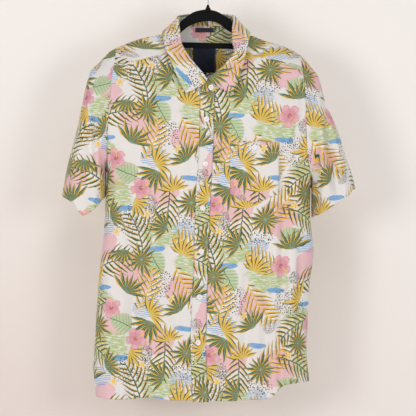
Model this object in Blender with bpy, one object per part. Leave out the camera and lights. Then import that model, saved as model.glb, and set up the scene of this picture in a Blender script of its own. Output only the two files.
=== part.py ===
"""A short-sleeved camp shirt hanging on a slim hanger, modelled piece by piece as it is cut and sewn.

The origin is the inside of the hook's crown, where a rail carries it. The shirt's front faces -Y, +Z is up, and +X is
the wearer's left. Tables and named sizes are in millimetres; the meshes are in metres.
"""

import math

import bmesh
import bpy
import numpy as np

MM = 0.001

# Cloth and gaps
CLOTH = 1.2  # wall of one layer
COLLAR_CLOTH = 1.6  # two layers and their interlining
LABEL_CLOTH = 1.0
SEAM_GAP = 0.3  # between pieces that are sewn together
SIDE_GAP = 1.2  # between the front and the back, whose facets differ
YOKE_GAP = 0.6  # between the fronts and the yoke

# Cells of the pieces' grids
UPPER_ROWS = 6  # rows of a panel above the pocket's mouth
LOWER_ROWS = 11  # and below its point
NECK_CELLS = 5  # columns of a front along its neckline
YOKE_SEAM_CELLS = 9  # and along the yoke seam
BACK_NECK_CELLS = 12
LEFT_CELLS = 3  # columns of the left front before the pocket
YOKE_ROWS = 10
COLLAR_CELLS = 24  # a quarter, and three quarters, of them reach the yoke seams
STAND_ROWS = 3
SLEEVE_HALF = 12  # columns of a sleeve's front
SLEEVE_ROWS = 13
SECTION_POINTS = 90  # on the sections that the grids are measured off along

# The hanging body
MIDDLE = -3.0  # x of the body's middle
SHOULDER_FALL = 200.0  # the drop in which front and back part to their full depth
SIDE_ROUNDING = 3.2  # power of the rounding towards the sides: 2 is an ellipse
ARMHOLE_CLOSING = 115.0  # height over the underarm in which the armhole closes
UNDERARM = {"right": -414.0, "left": -447.0}  # z, by the wearer's side
SEAM_INSET = 13.0  # how far the back wraps round to the front at the left side seam
SEAM_INSET_RUN = 220.0  # the drop in which it does so

RIDGE = (  # the shoulder line, which fades into the neck: x, z
    (-205, -160), (-189, -152), (-172, -145), (-142, -134.5), (-125, -130), (-106, -127), (-88, -122.5),
    (-74, -118.5), (-62, -97), (-38, -70), (0, -54), (38, -70), (63, -98), (76, -121), (95, -129),
    (116, -137.5), (142, -145), (166, -153.5), (183, -162.5), (193, -168), (205, -176),
)
SIDE = {  # armhole seam, then the body's edge: z, x
    "right": (
        (-895, -233), (-871, -236), (-850, -238), (-815, -240), (-771, -237), (-704, -233), (-640, -228.5),
        (-594, -224), (-540, -218), (-472, -214), (-414, -211), (-368, -209), (-326, -207), (-286, -205),
        (-252, -203), (-220, -200.5), (-200, -197), (-178, -193), (-152, -189),
    ),
    "left": (
        (-895, 214), (-848, 211), (-792, 206.5), (-750, 207.5), (-685, 211), (-634, 214), (-601, 219.5),
        (-575, 222.5), (-560, 219.5), (-514, 214), (-480, 213.5), (-447, 214), (-418, 213), (-388, 206.5),
        (-346, 203.5), (-304, 202.5), (-262, 202.5), (-231, 200.5), (-202, 196.5), (-168, 193),
    ),
}
FULLNESS = (  # depth of the cloth before and behind the hanger: z, front, back
    (-900, 58, 46), (-750, 61, 47), (-600, 60, 46), (-450, 58, 44), (-350, 56, 42), (-250, 52, 40),
    (-180, 46, 37), (-120, 40, 35), (-50, 36, 34),
)
HEM_LEVEL = -880.0
HEM = (  # x, z
    (-240, -880), (-218, -884), (-185, -886), (-139, -881), (-116, -879.5), (-84, -885), (-32, -886),
    (23, -887), (99, -884.5), (118, -883), (133, -879), (143, -869), (155, -857.5), (166, -853.5),
    (193, -851.5), (224, -849),
)
FRONT_YOKE_SEAM = (  # the forward shoulder seams: x, z
    (-195.5, -193), (-181, -190), (-164, -184), (-139, -179), (-118, -172.5), (-92, -166.5), (-76, -156),
    (73, -158), (105, -172.5), (122, -176), (147, -185), (162, -190), (176, -194), (196.5, -203.5),
)
BACK_YOKE_SEAM = -225.0
NECK_SPREAD = 112.0  # x on the back yoke seam that the columns from the neckline fan out to
FOLDS = (  # soft drapes: face (-1 front, 1 back), x and z at the top, x and z at the foot, half width, height
    (-1, -95, -300, -135, -900, 36, 7.0),
    (-1, -172, -430, -176, -905, 24, -5.0),
    (-1, 170, -480, 166, -905, 22, 8.0),
    (-1, 128, -500, 128, -905, 24, -6.0),
    (-1, 60, -500, 48, -905, 30, 5.0),
    (-1, -150, -215, -60, -330, 28, 4.0),
    (-1, 176, -250, 150, -340, 26, 4.0),
    (1, -120, -240, -128, -905, 28, 9.0),
    (1, -30, -236, -52, -905, 30, -8.0),
    (1, 40, -236, 30, -905, 28, 8.0),
    (1, 128, -240, 140, -905, 26, -7.0),
    (1, -186, -430, -180, -905, 22, 5.0),
)

# Neck, placket and pocket
NECK = (  # the collar's stations, from the right front end round the back to the left one:
    # face (-1 front, 0 on the ridge, 1 back), neckline x, z; roll line x, z, depth; leaf's edge x, z, depth
    (-1, -7, -249.5, -1, -225.5, -54, -46, -252, -59),
    (-1, -20.5, -246, -10.5, -214, -53, -51.5, -242.5, -58),
    (-1, -38.5, -229.5, -24, -198.7, -51, -59.5, -226.5, -58),
    (-1, -55, -206.5, -38.5, -181, -46, -69, -205, -55),
    (-1, -68, -181, -51, -160.5, -39, -78, -183, -49),
    (-1, -75.5, -156, -57.5, -144.5, -29, -86.5, -162.5, -39),
    (-1, -77.5, -137, -60, -121, -17, -92.5, -142, -28),
    (0, -77.5, 0, -61.5, -93.5, -1, -96, -118.5, -5),
    (1, -64, -111.5, -51, -85.5, 15, -88, -127.5, 23),
    (1, -38, -106.5, -29, -80, 29, -52, -126, 38),
    (1, -4, -105, -4, -77.5, 35, -4, -125, 43),
    (1, 27, -106.5, 21, -80, 31, 43, -126, 39),
    (1, 54, -111.5, 41.5, -84.5, 17, 78, -128, 24),
    (0, 75, 0, 54, -92, 1, 88.5, -120.5, -3),
    (-1, 75, -139, 52.5, -120.6, -14, 84.5, -141.3, -27),
    (-1, 73, -158, 53, -146.5, -28, 80.5, -163, -39),
    (-1, 68.5, -177.5, 55.5, -167.4, -38, 75, -186.3, -51),
    (-1, 57, -201, 45, -184, -45, 70.5, -204, -56),
    (-1, 41, -223.5, 31, -198.6, -50, 65, -221.4, -59),
    (-1, 22.5, -242, 16.5, -211.7, -53, 59, -237.7, -60),
    (-1, 10, -249.5, 3, -223.6, -55, 51.5, -254.5, -61),
)
YOKE_REACH = (0.25, 0.75)  # how far round the neckline the forward shoulder seams meet it
# the stand's ends lap, the left one over the right one: foot x, z; top x, z; y
STAND_UNDERLAP = (12, -248.5, 10.5, -229, -51.0)
STAND_OVERLAP = (-16, -248, -14, -231, -56.5)
ROLL = 2.6  # radius of the fold where the leaf turns down over the stand
LEAF_SAG = 12.0  # how far the leaf runs on down before it leaves for its edge

PLACKET = (  # z, left edge, right edge
    (-900, -31.5, 2), (-830, -34.5, -3), (-764, -36, -4.5), (-690, -33.5, -2.5), (-600, -29.5, 0),
    (-535, -27.5, 2), (-450, -24.5, 6), (-370, -18.5, 10.5), (-310, -17.5, 12), (-246, -16, 15),
)
PLACKET_TOP = -250.0
PLACKET_FOOT = -889.5
UNDERLAP_MARGIN = 4.0  # the right front ends this far short of the placket's right edge

POCKET_LEFT = 45.5
POCKET_RIGHT = 146.5
POCKET_ROWS = (-353, -380, -407, -434, -460, -481)  # z: its mouth, the steps down its side, its point
POCKET_CELLS = 8
POCKET_MIDDLE = (POCKET_LEFT + POCKET_RIGHT) / 2

# Buttons
BUTTON_RADIUS = 5.7
BUTTON_THICK = 2.4
BUTTON_DISH = 0.7  # depth of the middle under the rim
BUTTON_RIM = 1.5
PLACKET_BUTTONS = (-306, -398, -489.5, -579, -672.5, -766)
STAND_BUTTON = (6.5, -241.0)
STAND_BUTTON_PROUD = 3.9  # the stand's face over the body's middle surface, where the button lies
POCKET_BUTTON = -364.5

# Sleeves, from the armhole to the cuff
SLEEVE = {
    # the outline over the shoulder and down the outside, x and z; the inside line, x and z; the depth of the
    # cuff before and behind; how far its hem hangs under the line across, by share of that line; the same behind
    "right": {
        "outside": (
            (-189.3, -152), (-205, -160.5), (-215.5, -171), (-228.5, -184), (-245.7, -201), (-251, -216),
            (-259.6, -251), (-267, -287), (-273.6, -320), (-284, -361), (-296, -409.5), (-305.6, -464),
        ),
        "inside": ((-213.8, -414), (-215, -425), (-216.2, -440), (-217.5, -465)),
        "depth": (60, 50),
        "hem": (
            (0, 0), (0.18, 8), (0.34, 17), (0.42, 33), (0.52, 41), (0.66, 35), (0.78, 27), (0.88, 16), (1, 0),
        ),
        "hem_behind": 14,
    },
    "left": {
        "outside": (
            (193.3, -168), (204.5, -179.5), (224, -203), (232.5, -216), (240, -246), (247.6, -276.5),
            (254.5, -288), (266, -313), (278, -345.5), (288.5, -382), (300.3, -415.5), (308.3, -448.5),
        ),
        "inside": ((217, -447), (217.4, -466), (217.8, -487), (218.4, -509)),
        "depth": (58, 48),
        "hem": ((0, 0), (0.1, -2), (0.18, 3), (0.35, 1), (0.55, 2.5), (0.8, 3), (1, 0)),
        "hem_behind": -6,
    },
}
SLEEVE_FOLDS = (  # as FOLDS, on the sleeves
    (-1, -246, -215, -252, -440, 16, -5.0),
    (-1, 205, -300, 216, -452, 14, -6.0),
    (-1, 232, -270, 243, -470, 16, 8.0),
    (-1, 256, -310, 264, -420, 14, -5.0),
    (1, -250, -230, -256, -450, 16, -6.0),
    (1, 246, -240, 262, -460, 16, -7.0),
)

# Labels inside the neck
LABEL = (-8, -143.5, 48, 58)  # middle x, top z, width, height
LABEL_SMALL = (-7, -108.3, 40, 9.2)
SIZE_TAB = (-7, -202.2, 7.5, 9.5)
LABEL_GAP = 0.8

# Hanger
HANGER_THICK = 6.0
HANGER_EDGE = 2.0  # rounding of its edges
HANGER = (  # from the right tip over the arch to the left tip: outer x, z; inner x, z
    (-203.5, -165, -202, -173), (-189, -156.5, -185, -174), (-172, -148, -166, -166),
    (-142, -137.3, -138, -158), (-106, -129.8, -104, -149), (-88, -125.8, -90, -144.5),
    (-77, -123.6, -80, -140.5), (-70, -120.5, -68, -132), (-63.5, -110, -58.5, -122.5),
    (-57.5, -98, -49.5, -114.8), (-45.5, -88.2, -41, -108.5), (-34.7, -80.4, -31.5, -103.8),
    (-21.6, -75.2, -19.5, -99.5), (-2, -72.4, -2, -97), (17.2, -76.2, 15, -99),
    (30, -82.7, 28, -106.3), (40.8, -89, 38.6, -115),
    (49, -96, 49.5, -122), (56, -109, 58, -131), (64, -120, 68, -139), (76, -125, 80, -145),
    (95, -131.8, 96, -151), (116, -140.5, 116, -160), (142, -148, 140, -168), (166, -156.8, 162, -178),
    (183, -166, 178, -184), (197, -177.5, 190, -190),
)
BAR = (-122, -139.5, 128, -145.5, 12.0)  # left end x, z of its upper edge; right end x, z; height
BAR_THICK = 4.6
KNOB = ((0, 5.6), (3.5, 5.6), (5.5, 4.2), (8.5, 2.9), (11.0, 2.6))  # height over its foot, radius
KNOB_FOOT = -74.5
HOOK_WIRE = 1.9  # radius
HOOK_INSIDE = 20.0  # radius of the crown inside the wire
HOOK_SHANK = ((0, -63.1), (0, -56), (0.6, -49.5), (5.5, -44.2))  # x, z, from the knob to the round
HOOK_FROM = -52.0  # degrees round the crown's middle
HOOK_TO = 205.0
HOOK_STEPS = 20
HOOK_POINTS = 34


def smooth_curve(rows):
    """The smooth curve through rows of (at, value, ...), as a function of at that gives the values."""
    rows = np.array(sorted(rows), float)
    at, values = rows[:, 0], rows[:, 1:]
    slopes = np.gradient(values, at, axis=0)

    def value(t):
        t = np.clip(np.asarray(t, float), at[0], at[-1])
        i = np.clip(np.searchsorted(at, t) - 1, 0, len(at) - 2)
        width = (at[i + 1] - at[i])[..., None]
        u = (t - at[i])[..., None] / width
        out = (
            values[i] * (1 + 2 * u) * (1 - u) ** 2
            + values[i + 1] * u**2 * (3 - 2 * u)
            + slopes[i] * width * u * (1 - u) ** 2
            - slopes[i + 1] * width * u**2 * (1 - u)
        )
        return out[..., 0] if out.shape[-1] == 1 else out

    return value


def stations(rows):
    """The smooth curve through rows in their order, as a function of 0 to 1 along them."""
    steps = np.linspace(0, 1, len(rows))
    return smooth_curve([(step, *row) for step, row in zip(steps, rows)])


def smoothstep(t):
    t = np.clip(t, 0, 1)
    return t * t * (3 - 2 * t)


def quarter(t):
    """A quarter round from 0 to 1, steep at 0 and level at 1."""
    return np.sqrt(1 - (1 - np.clip(t, 0, 1)) ** 2)


ridge = smooth_curve(RIDGE)
side_x = {side: smooth_curve(rows) for side, rows in SIDE.items()}
fullness = smooth_curve(FULLNESS)
hem = smooth_curve(HEM)
front_yoke_seam = smooth_curve(FRONT_YOKE_SEAM)
placket_edges = smooth_curve(PLACKET)


def neck_rows():
    """The collar's stations with the neckline as x and w: it lies w * w under the ridge, before it where w < 0."""
    rows = []
    for face, x, z, *rest in NECK:
        w = face * math.sqrt(float(ridge(x)) - z) if face else 0.0
        rows.append((x, w, *rest))
    return rows


neck = stations(neck_rows())


def neckline(t):
    """The neckline's x, z and face at t, from 0 at the right front end to 1 at the left one."""
    x, w = neck(t)[:2]
    return float(x), float(ridge(x) - w * w), -1 if w < 0 else 1


def folds(x, z, face, table=FOLDS):
    """How far the drapes push the cloth of this face outwards at x, z."""
    out = np.zeros(np.broadcast(x, z).shape)
    for of_face, x_top, z_top, x_foot, z_foot, half_width, height in table:
        if of_face != face:
            continue
        down = np.clip((z_top - z) / (z_top - z_foot), 0, 1)
        middle = x_top + (x_foot - x_top) * down
        fade = smoothstep(down / 0.3) * smoothstep((1.12 - down) / 0.3)
        out += height * fade * np.exp(-(((x - middle) / half_width) ** 2))
    return out


def depth(x, z, face):
    """y of the body's middle surface at x, z, on the front (face -1) or the back (face 1)."""
    x, z = np.broadcast_arrays(np.asarray(x, float), np.asarray(z, float))
    out = np.zeros(x.shape)
    for side, sign in (("right", -1), ("left", 1)):
        here = (x - MIDDLE) * sign >= 0
        reach = np.clip((x - MIDDLE) / (side_x[side](z) - MIDDLE), 0, 1) ** SIDE_ROUNDING
        closing = quarter((z - UNDERARM[side]) / ARMHOLE_CLOSING) ** SIDE_ROUNDING
        round_off = np.clip(1 - reach * (1 - closing), 0, 1) ** (1 / SIDE_ROUNDING)
        full = fullness(z)[..., 0 if face < 0 else 1]
        fall = quarter((ridge(x) - z) / SHOULDER_FALL)
        out = np.where(here, face * (full * fall + folds(x, z, face)) * round_off, out)
    return out


def dense(x_from, x_to, both_ends=False):
    """x values from one to the other, close together towards the side, where the cloth turns."""
    t = np.linspace(0, 1, SECTION_POINTS)
    t = (1 - np.cos(np.pi * t)) / 2 if both_ends else 1 - (1 - t) ** 3
    return x_from + (x_to - x_from) * t


def inset(z):
    """How far the back has wrapped round to the front at the left side seam."""
    return SEAM_INSET * smoothstep((UNDERARM["left"] - z) / SEAM_INSET_RUN)


def along(line):
    """Length along a line of points, at each point."""
    return np.concatenate([[0], np.cumsum(np.linalg.norm(np.diff(line, axis=0), axis=1))])


def front_line(z, side):
    """The front's section at z from the placket to the side, as points and their lengths."""
    start = placket_edges(z)[0 if side == "right" else 1]
    x = dense(start, side_x[side](z))
    line = np.stack([x, depth(x, z, -1)], axis=1)
    length = along(line)
    limit = length[-1] - (inset(z) if side == "left" else 0) - SIDE_GAP / 2
    return line, length, limit


def back_line(z):
    """The back's section at z, from the right side seam to the left one."""
    x = dense(side_x["right"](z), side_x["left"](z), both_ends=True)
    line = np.stack([x, depth(x, z, 1)], axis=1)
    wrap = inset(z)
    if wrap > 0:
        x = dense(side_x["left"](z), side_x["left"](z) - 3 * wrap)[1:]
        line = np.concatenate([line, np.stack([x, depth(x, z, -1)], axis=1)])
        length = along(line)
        back = length[SECTION_POINTS - 1] + wrap
        return line, length, back - SIDE_GAP / 2
    length = along(line)
    return line, length, length[-1] - SIDE_GAP / 2


def point_on(section, z, fraction):
    line, length, limit = section
    at = fraction * limit
    return np.array([np.interp(at, length, line[:, 0]), np.interp(at, length, line[:, 1]), z])


def fraction_at(section, x):
    """The fraction of a front's section at which it passes x."""
    line, length, limit = section
    order = np.argsort(line[:, 0])
    return min(1.0, np.interp(x, line[order, 0], length[order]) / limit)


def lift(grid, distance):
    """A grid of points moved out along its own normals, away from the hanger's plane."""
    down, across = np.gradient(grid, axis=0), np.gradient(grid, axis=1)
    normal = np.cross(down, across)
    normal /= np.linalg.norm(normal, axis=2, keepdims=True)
    facing = np.sign(normal[..., 1:2].mean()) * np.sign(grid[..., 1:2].mean())
    return grid + normal * facing * distance


def finish(name, mesh, colour, roughness, metallic=0.0, smooth=True):
    """Link a mesh as one object with its own material."""
    data = bpy.data.meshes.new(name)
    mesh.to_mesh(data)
    mesh.free()
    if smooth:
        data.shade_smooth()
        data.set_sharp_from_angle(angle=math.radians(40))
    material = bpy.data.materials.new(name)
    material.use_nodes = True
    shader = material.node_tree.nodes["Principled BSDF"]
    shader.inputs["Base Color"].default_value = (*colour, 1)
    shader.inputs["Roughness"].default_value = roughness
    shader.inputs["Metallic"].default_value = metallic
    data.materials.append(material)
    piece = bpy.data.objects.new(name, data)
    bpy.context.scene.collection.objects.link(piece)
    return piece


def cloth(name, grid, colour, thickness=CLOTH, tube=False):
    """A wall of cloth whose middle surface runs through a grid of points, rows by columns."""
    mesh = bmesh.new()
    rows, columns = grid.shape[:2]
    corners = [[mesh.verts.new(point * MM) for point in row] for row in grid]
    for r in range(rows - 1):
        for c in range(columns if tube else columns - 1):
            d = (c + 1) % columns
            mesh.faces.new((corners[r][c], corners[r][d], corners[r + 1][d], corners[r + 1][c]))
    bmesh.ops.recalc_face_normals(mesh, faces=mesh.faces)
    piece = finish(name, mesh, colour, 0.85)
    wall = piece.modifiers.new("Wall", "SOLIDIFY")
    wall.thickness = thickness * MM
    wall.offset = 0
    wall.use_quality_normals = True
    return piece


def hem_point(section_at, fraction):
    """The z at which a column of a panel meets the hem."""
    z = HEM_LEVEL
    for _ in range(4):
        z = float(hem(point_on(section_at(z), z, fraction)[0]))
    return z


def levels(z_top, z_foot):
    """The z of each row of a column: down to the pocket's mouth, down the pocket, and on to the hem."""
    mouth, point = POCKET_ROWS[0], POCKET_ROWS[-1]
    upper = [z_top + (mouth - z_top) * r / UPPER_ROWS for r in range(UPPER_ROWS)]
    lower = [point + (z_foot - point) * r / LOWER_ROWS for r in range(1, LOWER_ROWS + 1)]
    return upper + list(POCKET_ROWS) + lower


def panel(section_at, top, foot_share, settled):
    """A panel's grid from its upper edge, a list of (z, fraction), down to the hem.

    foot_share gives a column's fraction at z once it has settled, and settled is the row where it has.
    """
    columns = []
    for c, (z_top, at_top) in enumerate(top):
        z_foot = hem_point(section_at, foot_share(section_at(HEM_LEVEL), c))
        column = []
        for r, z in enumerate(levels(z_top, z_foot)):
            section = section_at(z)
            mix = smoothstep(r / settled)
            column.append(point_on(section, z, at_top * (1 - mix) + foot_share(section, c) * mix))
        columns.append(column)
    return np.array(columns).transpose(1, 0, 2)


def front_top(side):
    """The upper edge of a front: up the neckline from the placket, then out along the yoke seam."""
    first = 1 / COLLAR_CELLS
    start, corner = (first, YOKE_REACH[0]) if side == "right" else (1 - first, YOKE_REACH[1])
    top = [neckline(t)[:2] for t in np.linspace(start, corner, NECK_CELLS + 1)[:-1]]
    if side == "left":
        (x_end, z_end, _), (x_next, z_next) = neckline(1), top[0]
        x = float(placket_edges(z_end)[1])
        z = z_end + (z_next - z_end) * (x - x_end) / (x_next - x_end)
        top.insert(0, (x, z))
    top += [(x, z - YOKE_GAP / 2) for x, z in yoke_seam_points(side)]
    out = [(z, fraction_at(front_line(z, side), x)) for x, z in top]
    return [*out[:-1], (out[-1][0], 1.0)]


def yoke_seam_points(side):
    """Points along a forward shoulder seam, from the neckline to the armhole."""
    x_neck = neckline(YOKE_REACH[0 if side == "right" else 1])[0]
    x_arm = FRONT_YOKE_SEAM[0 if side == "right" else -1][0]
    return [(x, float(front_yoke_seam(x))) for x in np.linspace(x_neck, x_arm, YOKE_SEAM_CELLS + 1)]


def right_share(section, column):
    return column / (NECK_CELLS + YOKE_SEAM_CELLS)


def left_share(section, column):
    """The left front's columns: two run down the pocket's sides, and the pocket's own lie between them."""
    inner, outer = fraction_at(section, POCKET_LEFT), fraction_at(section, POCKET_RIGHT)
    first, last = LEFT_CELLS, LEFT_CELLS + POCKET_CELLS
    if column <= first:
        return inner * column / first
    if column <= last:
        x = POCKET_LEFT + (POCKET_RIGHT - POCKET_LEFT) * (column - first) / POCKET_CELLS
        return fraction_at(section, x)
    return outer + (1 - outer) * (column - last) / (NECK_CELLS + 1 + YOKE_SEAM_CELLS - last)


def strip(z_rows, x_of):
    """Columns of the body's front under or on the placket, at each z."""
    rows = []
    for z in z_rows:
        rows.append([(x, float(depth(x, z, -1)), z) for x in x_of(*placket_edges(z))])
    return np.array(rows)


def make_fronts(colour):
    settled = UPPER_ROWS
    right = panel(lambda z: front_line(z, "right"), front_top("right"), right_share, settled + 4)
    z_rows = np.minimum(right[:, 0, 2], PLACKET_TOP)
    under = strip(z_rows, lambda a, b: (b - UNDERLAP_MARGIN, (a + b) / 2, (3 * a + b) / 4))
    cloth("front_right", np.concatenate([under, right], axis=1), colour)
    left = panel(lambda z: front_line(z, "left"), front_top("left"), left_share, settled)
    left[:, 0, 0] += SEAM_GAP
    cloth("front_left", left, colour)
    z_rows[-1] = PLACKET_FOOT
    placket = strip(z_rows, lambda a, b: (a, (a + b) / 2, b))
    cloth("placket", lift(placket, CLOTH / 2 + SEAM_GAP + COLLAR_CLOTH / 2), colour, COLLAR_CLOTH)
    make_pocket(left, colour)


def make_pocket(front, colour):
    """The patch pocket, on the front's own points, moved out."""
    first = UPPER_ROWS
    body = front[first : first + len(POCKET_ROWS), LEFT_CELLS : LEFT_CELLS + POCKET_CELLS + 1].copy()
    across = np.abs(np.linspace(-1, 1, POCKET_CELLS + 1))[:, None]
    body[-1] = body[-2] * across + body[-1] * (1 - across) + (body[-1] - body[-2]) * 0.04
    cloth("pocket", lift(body, CLOTH + SEAM_GAP), colour)


def back_columns():
    """x of the back yoke seam's points, from the right armhole to the left one."""
    x_right = float(side_x["right"](BACK_YOKE_SEAM)) + SEAM_GAP / 2
    x_left = float(side_x["left"](BACK_YOKE_SEAM)) - SEAM_GAP / 2
    outer_right = np.linspace(x_right, -NECK_SPREAD, YOKE_SEAM_CELLS + 1)
    inner = np.linspace(-NECK_SPREAD, NECK_SPREAD, BACK_NECK_CELLS + 1)
    outer_left = np.linspace(NECK_SPREAD, x_left, YOKE_SEAM_CELLS + 1)
    return np.concatenate([outer_right, inner[1:-1], outer_left])


def make_back(colour):
    z = BACK_YOKE_SEAM - SEAM_GAP / 2
    section = back_line(z)
    top = [(z, fraction_at(section, x)) for x in back_columns()]
    top[0], top[-1] = (z, 0.0), (z, 1.0)
    cloth("back", panel(back_line, top, lambda section, c: c / (len(top) - 1), UPPER_ROWS + 6), colour)


def yoke_grid():
    """The yoke's grid: columns from the right armhole to the left one, rows from front to back.

    A point lies at x and at a drop of w * w under the ridge, before it where w is below 0.
    """
    sides = {}
    for side in ("right", "left"):
        points = yoke_seam_points(side)
        sides[side] = [(x, -math.sqrt(float(ridge(x)) - z - YOKE_GAP / 2)) for x, z in points]
    around = [tuple(neck(t)[:2]) for t in np.linspace(*YOKE_REACH, BACK_NECK_CELLS + 1)[1:-1]]
    front = sides["right"][::-1] + around + sides["left"]
    grid = np.zeros((YOKE_ROWS + 1, len(front), 3))
    for c, ((x_front, w_front), x_back) in enumerate(zip(front, back_columns())):
        w_back = math.sqrt(float(ridge(x_back)) - BACK_YOKE_SEAM - SEAM_GAP / 2)
        for r in range(YOKE_ROWS + 1):
            v = r / YOKE_ROWS
            w = w_front + (w_back - w_front) * v
            x = x_back + (x_front - x_back) * (1 - v) ** 2
            end = {0: ("right", 1), len(front) - 1: ("left", -1)}.get(c)
            for _ in range(3 if end else 0):
                x = float(side_x[end[0]](float(ridge(x)) - w * w)) + end[1] * SEAM_GAP / 2
            z = float(ridge(x)) - w * w
            grid[r, c] = x, depth(x, z, -1 if w < 0 else 1), z
    return grid


def make_yoke(colour):
    cloth("yoke", yoke_grid(), colour)


def collar_frames(count):
    """At stations round the collar: the neckline, the roll line, the leaf's edge, up the stand, and outwards."""
    feet, rolls, edges = [], [], []
    for t in np.linspace(0, 1, count):
        x, z, face = neckline(t)
        _, _, x_roll, z_roll, y_roll, x_edge, z_edge, y_edge = neck(t)
        feet.append((x, float(depth(x, z, face)), z))
        rolls.append((x_roll, y_roll, z_roll))
        edges.append((x_edge, y_edge, z_edge))
    feet, rolls, edges = np.array(feet), np.array(rolls), np.array(edges)
    up = rolls - feet
    up /= np.linalg.norm(up, axis=1, keepdims=True)
    outwards = np.cross(np.gradient(rolls, axis=0), up)
    outwards /= np.linalg.norm(outwards, axis=1, keepdims=True)
    outwards *= np.sign(((rolls - rolls.mean(axis=0)) * outwards).sum(axis=1, keepdims=True))
    return feet, rolls, edges, up, outwards


def make_stand(colour):
    feet, rolls, _, up, _ = collar_frames(COLLAR_CELLS + 1)
    feet, rolls = feet + up * (CLOTH / 2 + SEAM_GAP * 2), rolls - up * SEAM_GAP * 2
    foot_ends, top_ends = [], []
    for x_foot, z_foot, x_top, z_top, y in (STAND_UNDERLAP, STAND_OVERLAP):
        foot_ends.append([(x_foot, y, z_foot)])
        top_ends.append([(x_top, y, z_top)])
    feet = np.concatenate([foot_ends[0], feet, foot_ends[1]])
    rolls = np.concatenate([top_ends[0], rolls, top_ends[1]])
    grid = np.stack([feet + (rolls - feet) * r / STAND_ROWS for r in range(STAND_ROWS + 1)])
    cloth("collar_stand", grid, colour, COLLAR_CLOTH)


def make_leaf(colour):
    _, rolls, edges, up, outwards = collar_frames(COLLAR_CELLS + 1)
    rows = []
    for angle in np.radians((180, 135, 90, 45, 0)):
        rows.append(rolls + outwards * ROLL * (1 + math.cos(angle)) + up * (SEAM_GAP * 2 + ROLL * math.sin(angle)))
    start = rows[-1]
    bend = start - up * LEAF_SAG
    for t in np.linspace(0, 1, 6)[1:]:
        rows.append(start * (1 - t) ** 2 + bend * 2 * t * (1 - t) + edges * t * t)
    cloth("collar", np.array(rows), colour, COLLAR_CLOTH)


def make_sleeve(side, colour):
    """A tube from the armhole's ring to the cuff, through rings that fan out round the underarm."""
    shape = SLEEVE[side]
    sign = -1 if side == "right" else 1
    half, rings = SLEEVE_HALF, SLEEVE_ROWS
    top_of_seam = float(ridge(side_x[side](shape["outside"][0][1])))
    z = UNDERARM[side] + (top_of_seam - UNDERARM[side]) * quarter(np.linspace(0, 1, SECTION_POINTS))
    armhole = []
    for face in (-1, 1):
        x = side_x[side](z)
        line = np.stack([x, depth(x, z, face), z], axis=1)[::-1]
        length = along(line)
        at = np.linspace(0, length[-1], half + 1)
        armhole.append(np.stack([np.interp(at, length, line[:, k]) for k in range(3)], axis=1))
    loop = np.concatenate([armhole[0], armhole[1][-2:0:-1]])
    outside, inside = stations(shape["outside"]), stations(shape["inside"])
    outer_line = outside(np.linspace(0, 1, 200))
    outer_length = along(outer_line) / along(outer_line)[-1]
    top, foot = loop[0, ::2], loop[half, ::2]
    chord = foot - top
    share0 = ((loop[:, ::2] - top) @ chord) / (chord @ chord)
    bow = loop[:, ::2] - (top + share0[:, None] * chord)
    theta = np.pi * np.arange(2 * half) / half
    before = np.arange(2 * half) <= half
    share1 = (1 - np.cos(theta)) / 2
    depth1 = np.abs(np.sin(theta)) ** 0.85 * np.where(before, -shape["depth"][0], shape["depth"][1])
    hang_before = np.array([np.interp(c, *zip(*shape["hem"])) for c in share1])
    hang = np.where(before, hang_before, np.abs(np.sin(theta)) ** 1.5 * shape["hem_behind"])
    grid = np.zeros((rings + 1, 2 * half, 3))
    for r in range(rings + 1):
        t = r / rings
        mix = smoothstep(t / 0.6)
        out = np.array([np.interp(t, outer_length, outer_line[:, k]) for k in range(2)])
        inn = inside(t**1.4)
        part = share0 * (1 - mix) + share1 * mix
        xz = out + (inn - out) * part[:, None] + bow * (1 - mix)
        y = loop[:, 1] * (1 - mix) + depth1 * mix
        gap = SEAM_GAP * (1 - mix)
        for face, where in ((-1, before), (1, ~before)):
            push = folds(xz[:, 0], xz[:, 1], face, SLEEVE_FOLDS)
            y = np.where(where, y + face * push * np.abs(np.sin(theta)) * mix, y)
        grid[r] = np.stack([xz[:, 0] + sign * gap, y, xz[:, 1] - hang * t**3], axis=1)
    cloth("sleeve_" + side, grid, colour, tube=True)


def make_label(name, place, colour, further=0.0):
    """A woven label on the inside of the back or of the yoke."""
    middle, top, width, height = place
    grid = np.zeros((5, 5, 3))
    for r in range(5):
        for c in range(5):
            x = middle + width * (c / 4 - 0.5)
            z = top - height * r / 4
            grid[r, c] = x, depth(x, z, 1), z
    cloth(name, lift(grid, -(CLOTH / 2 + LABEL_GAP + LABEL_CLOTH / 2 + further)), colour, LABEL_CLOTH)


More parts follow.
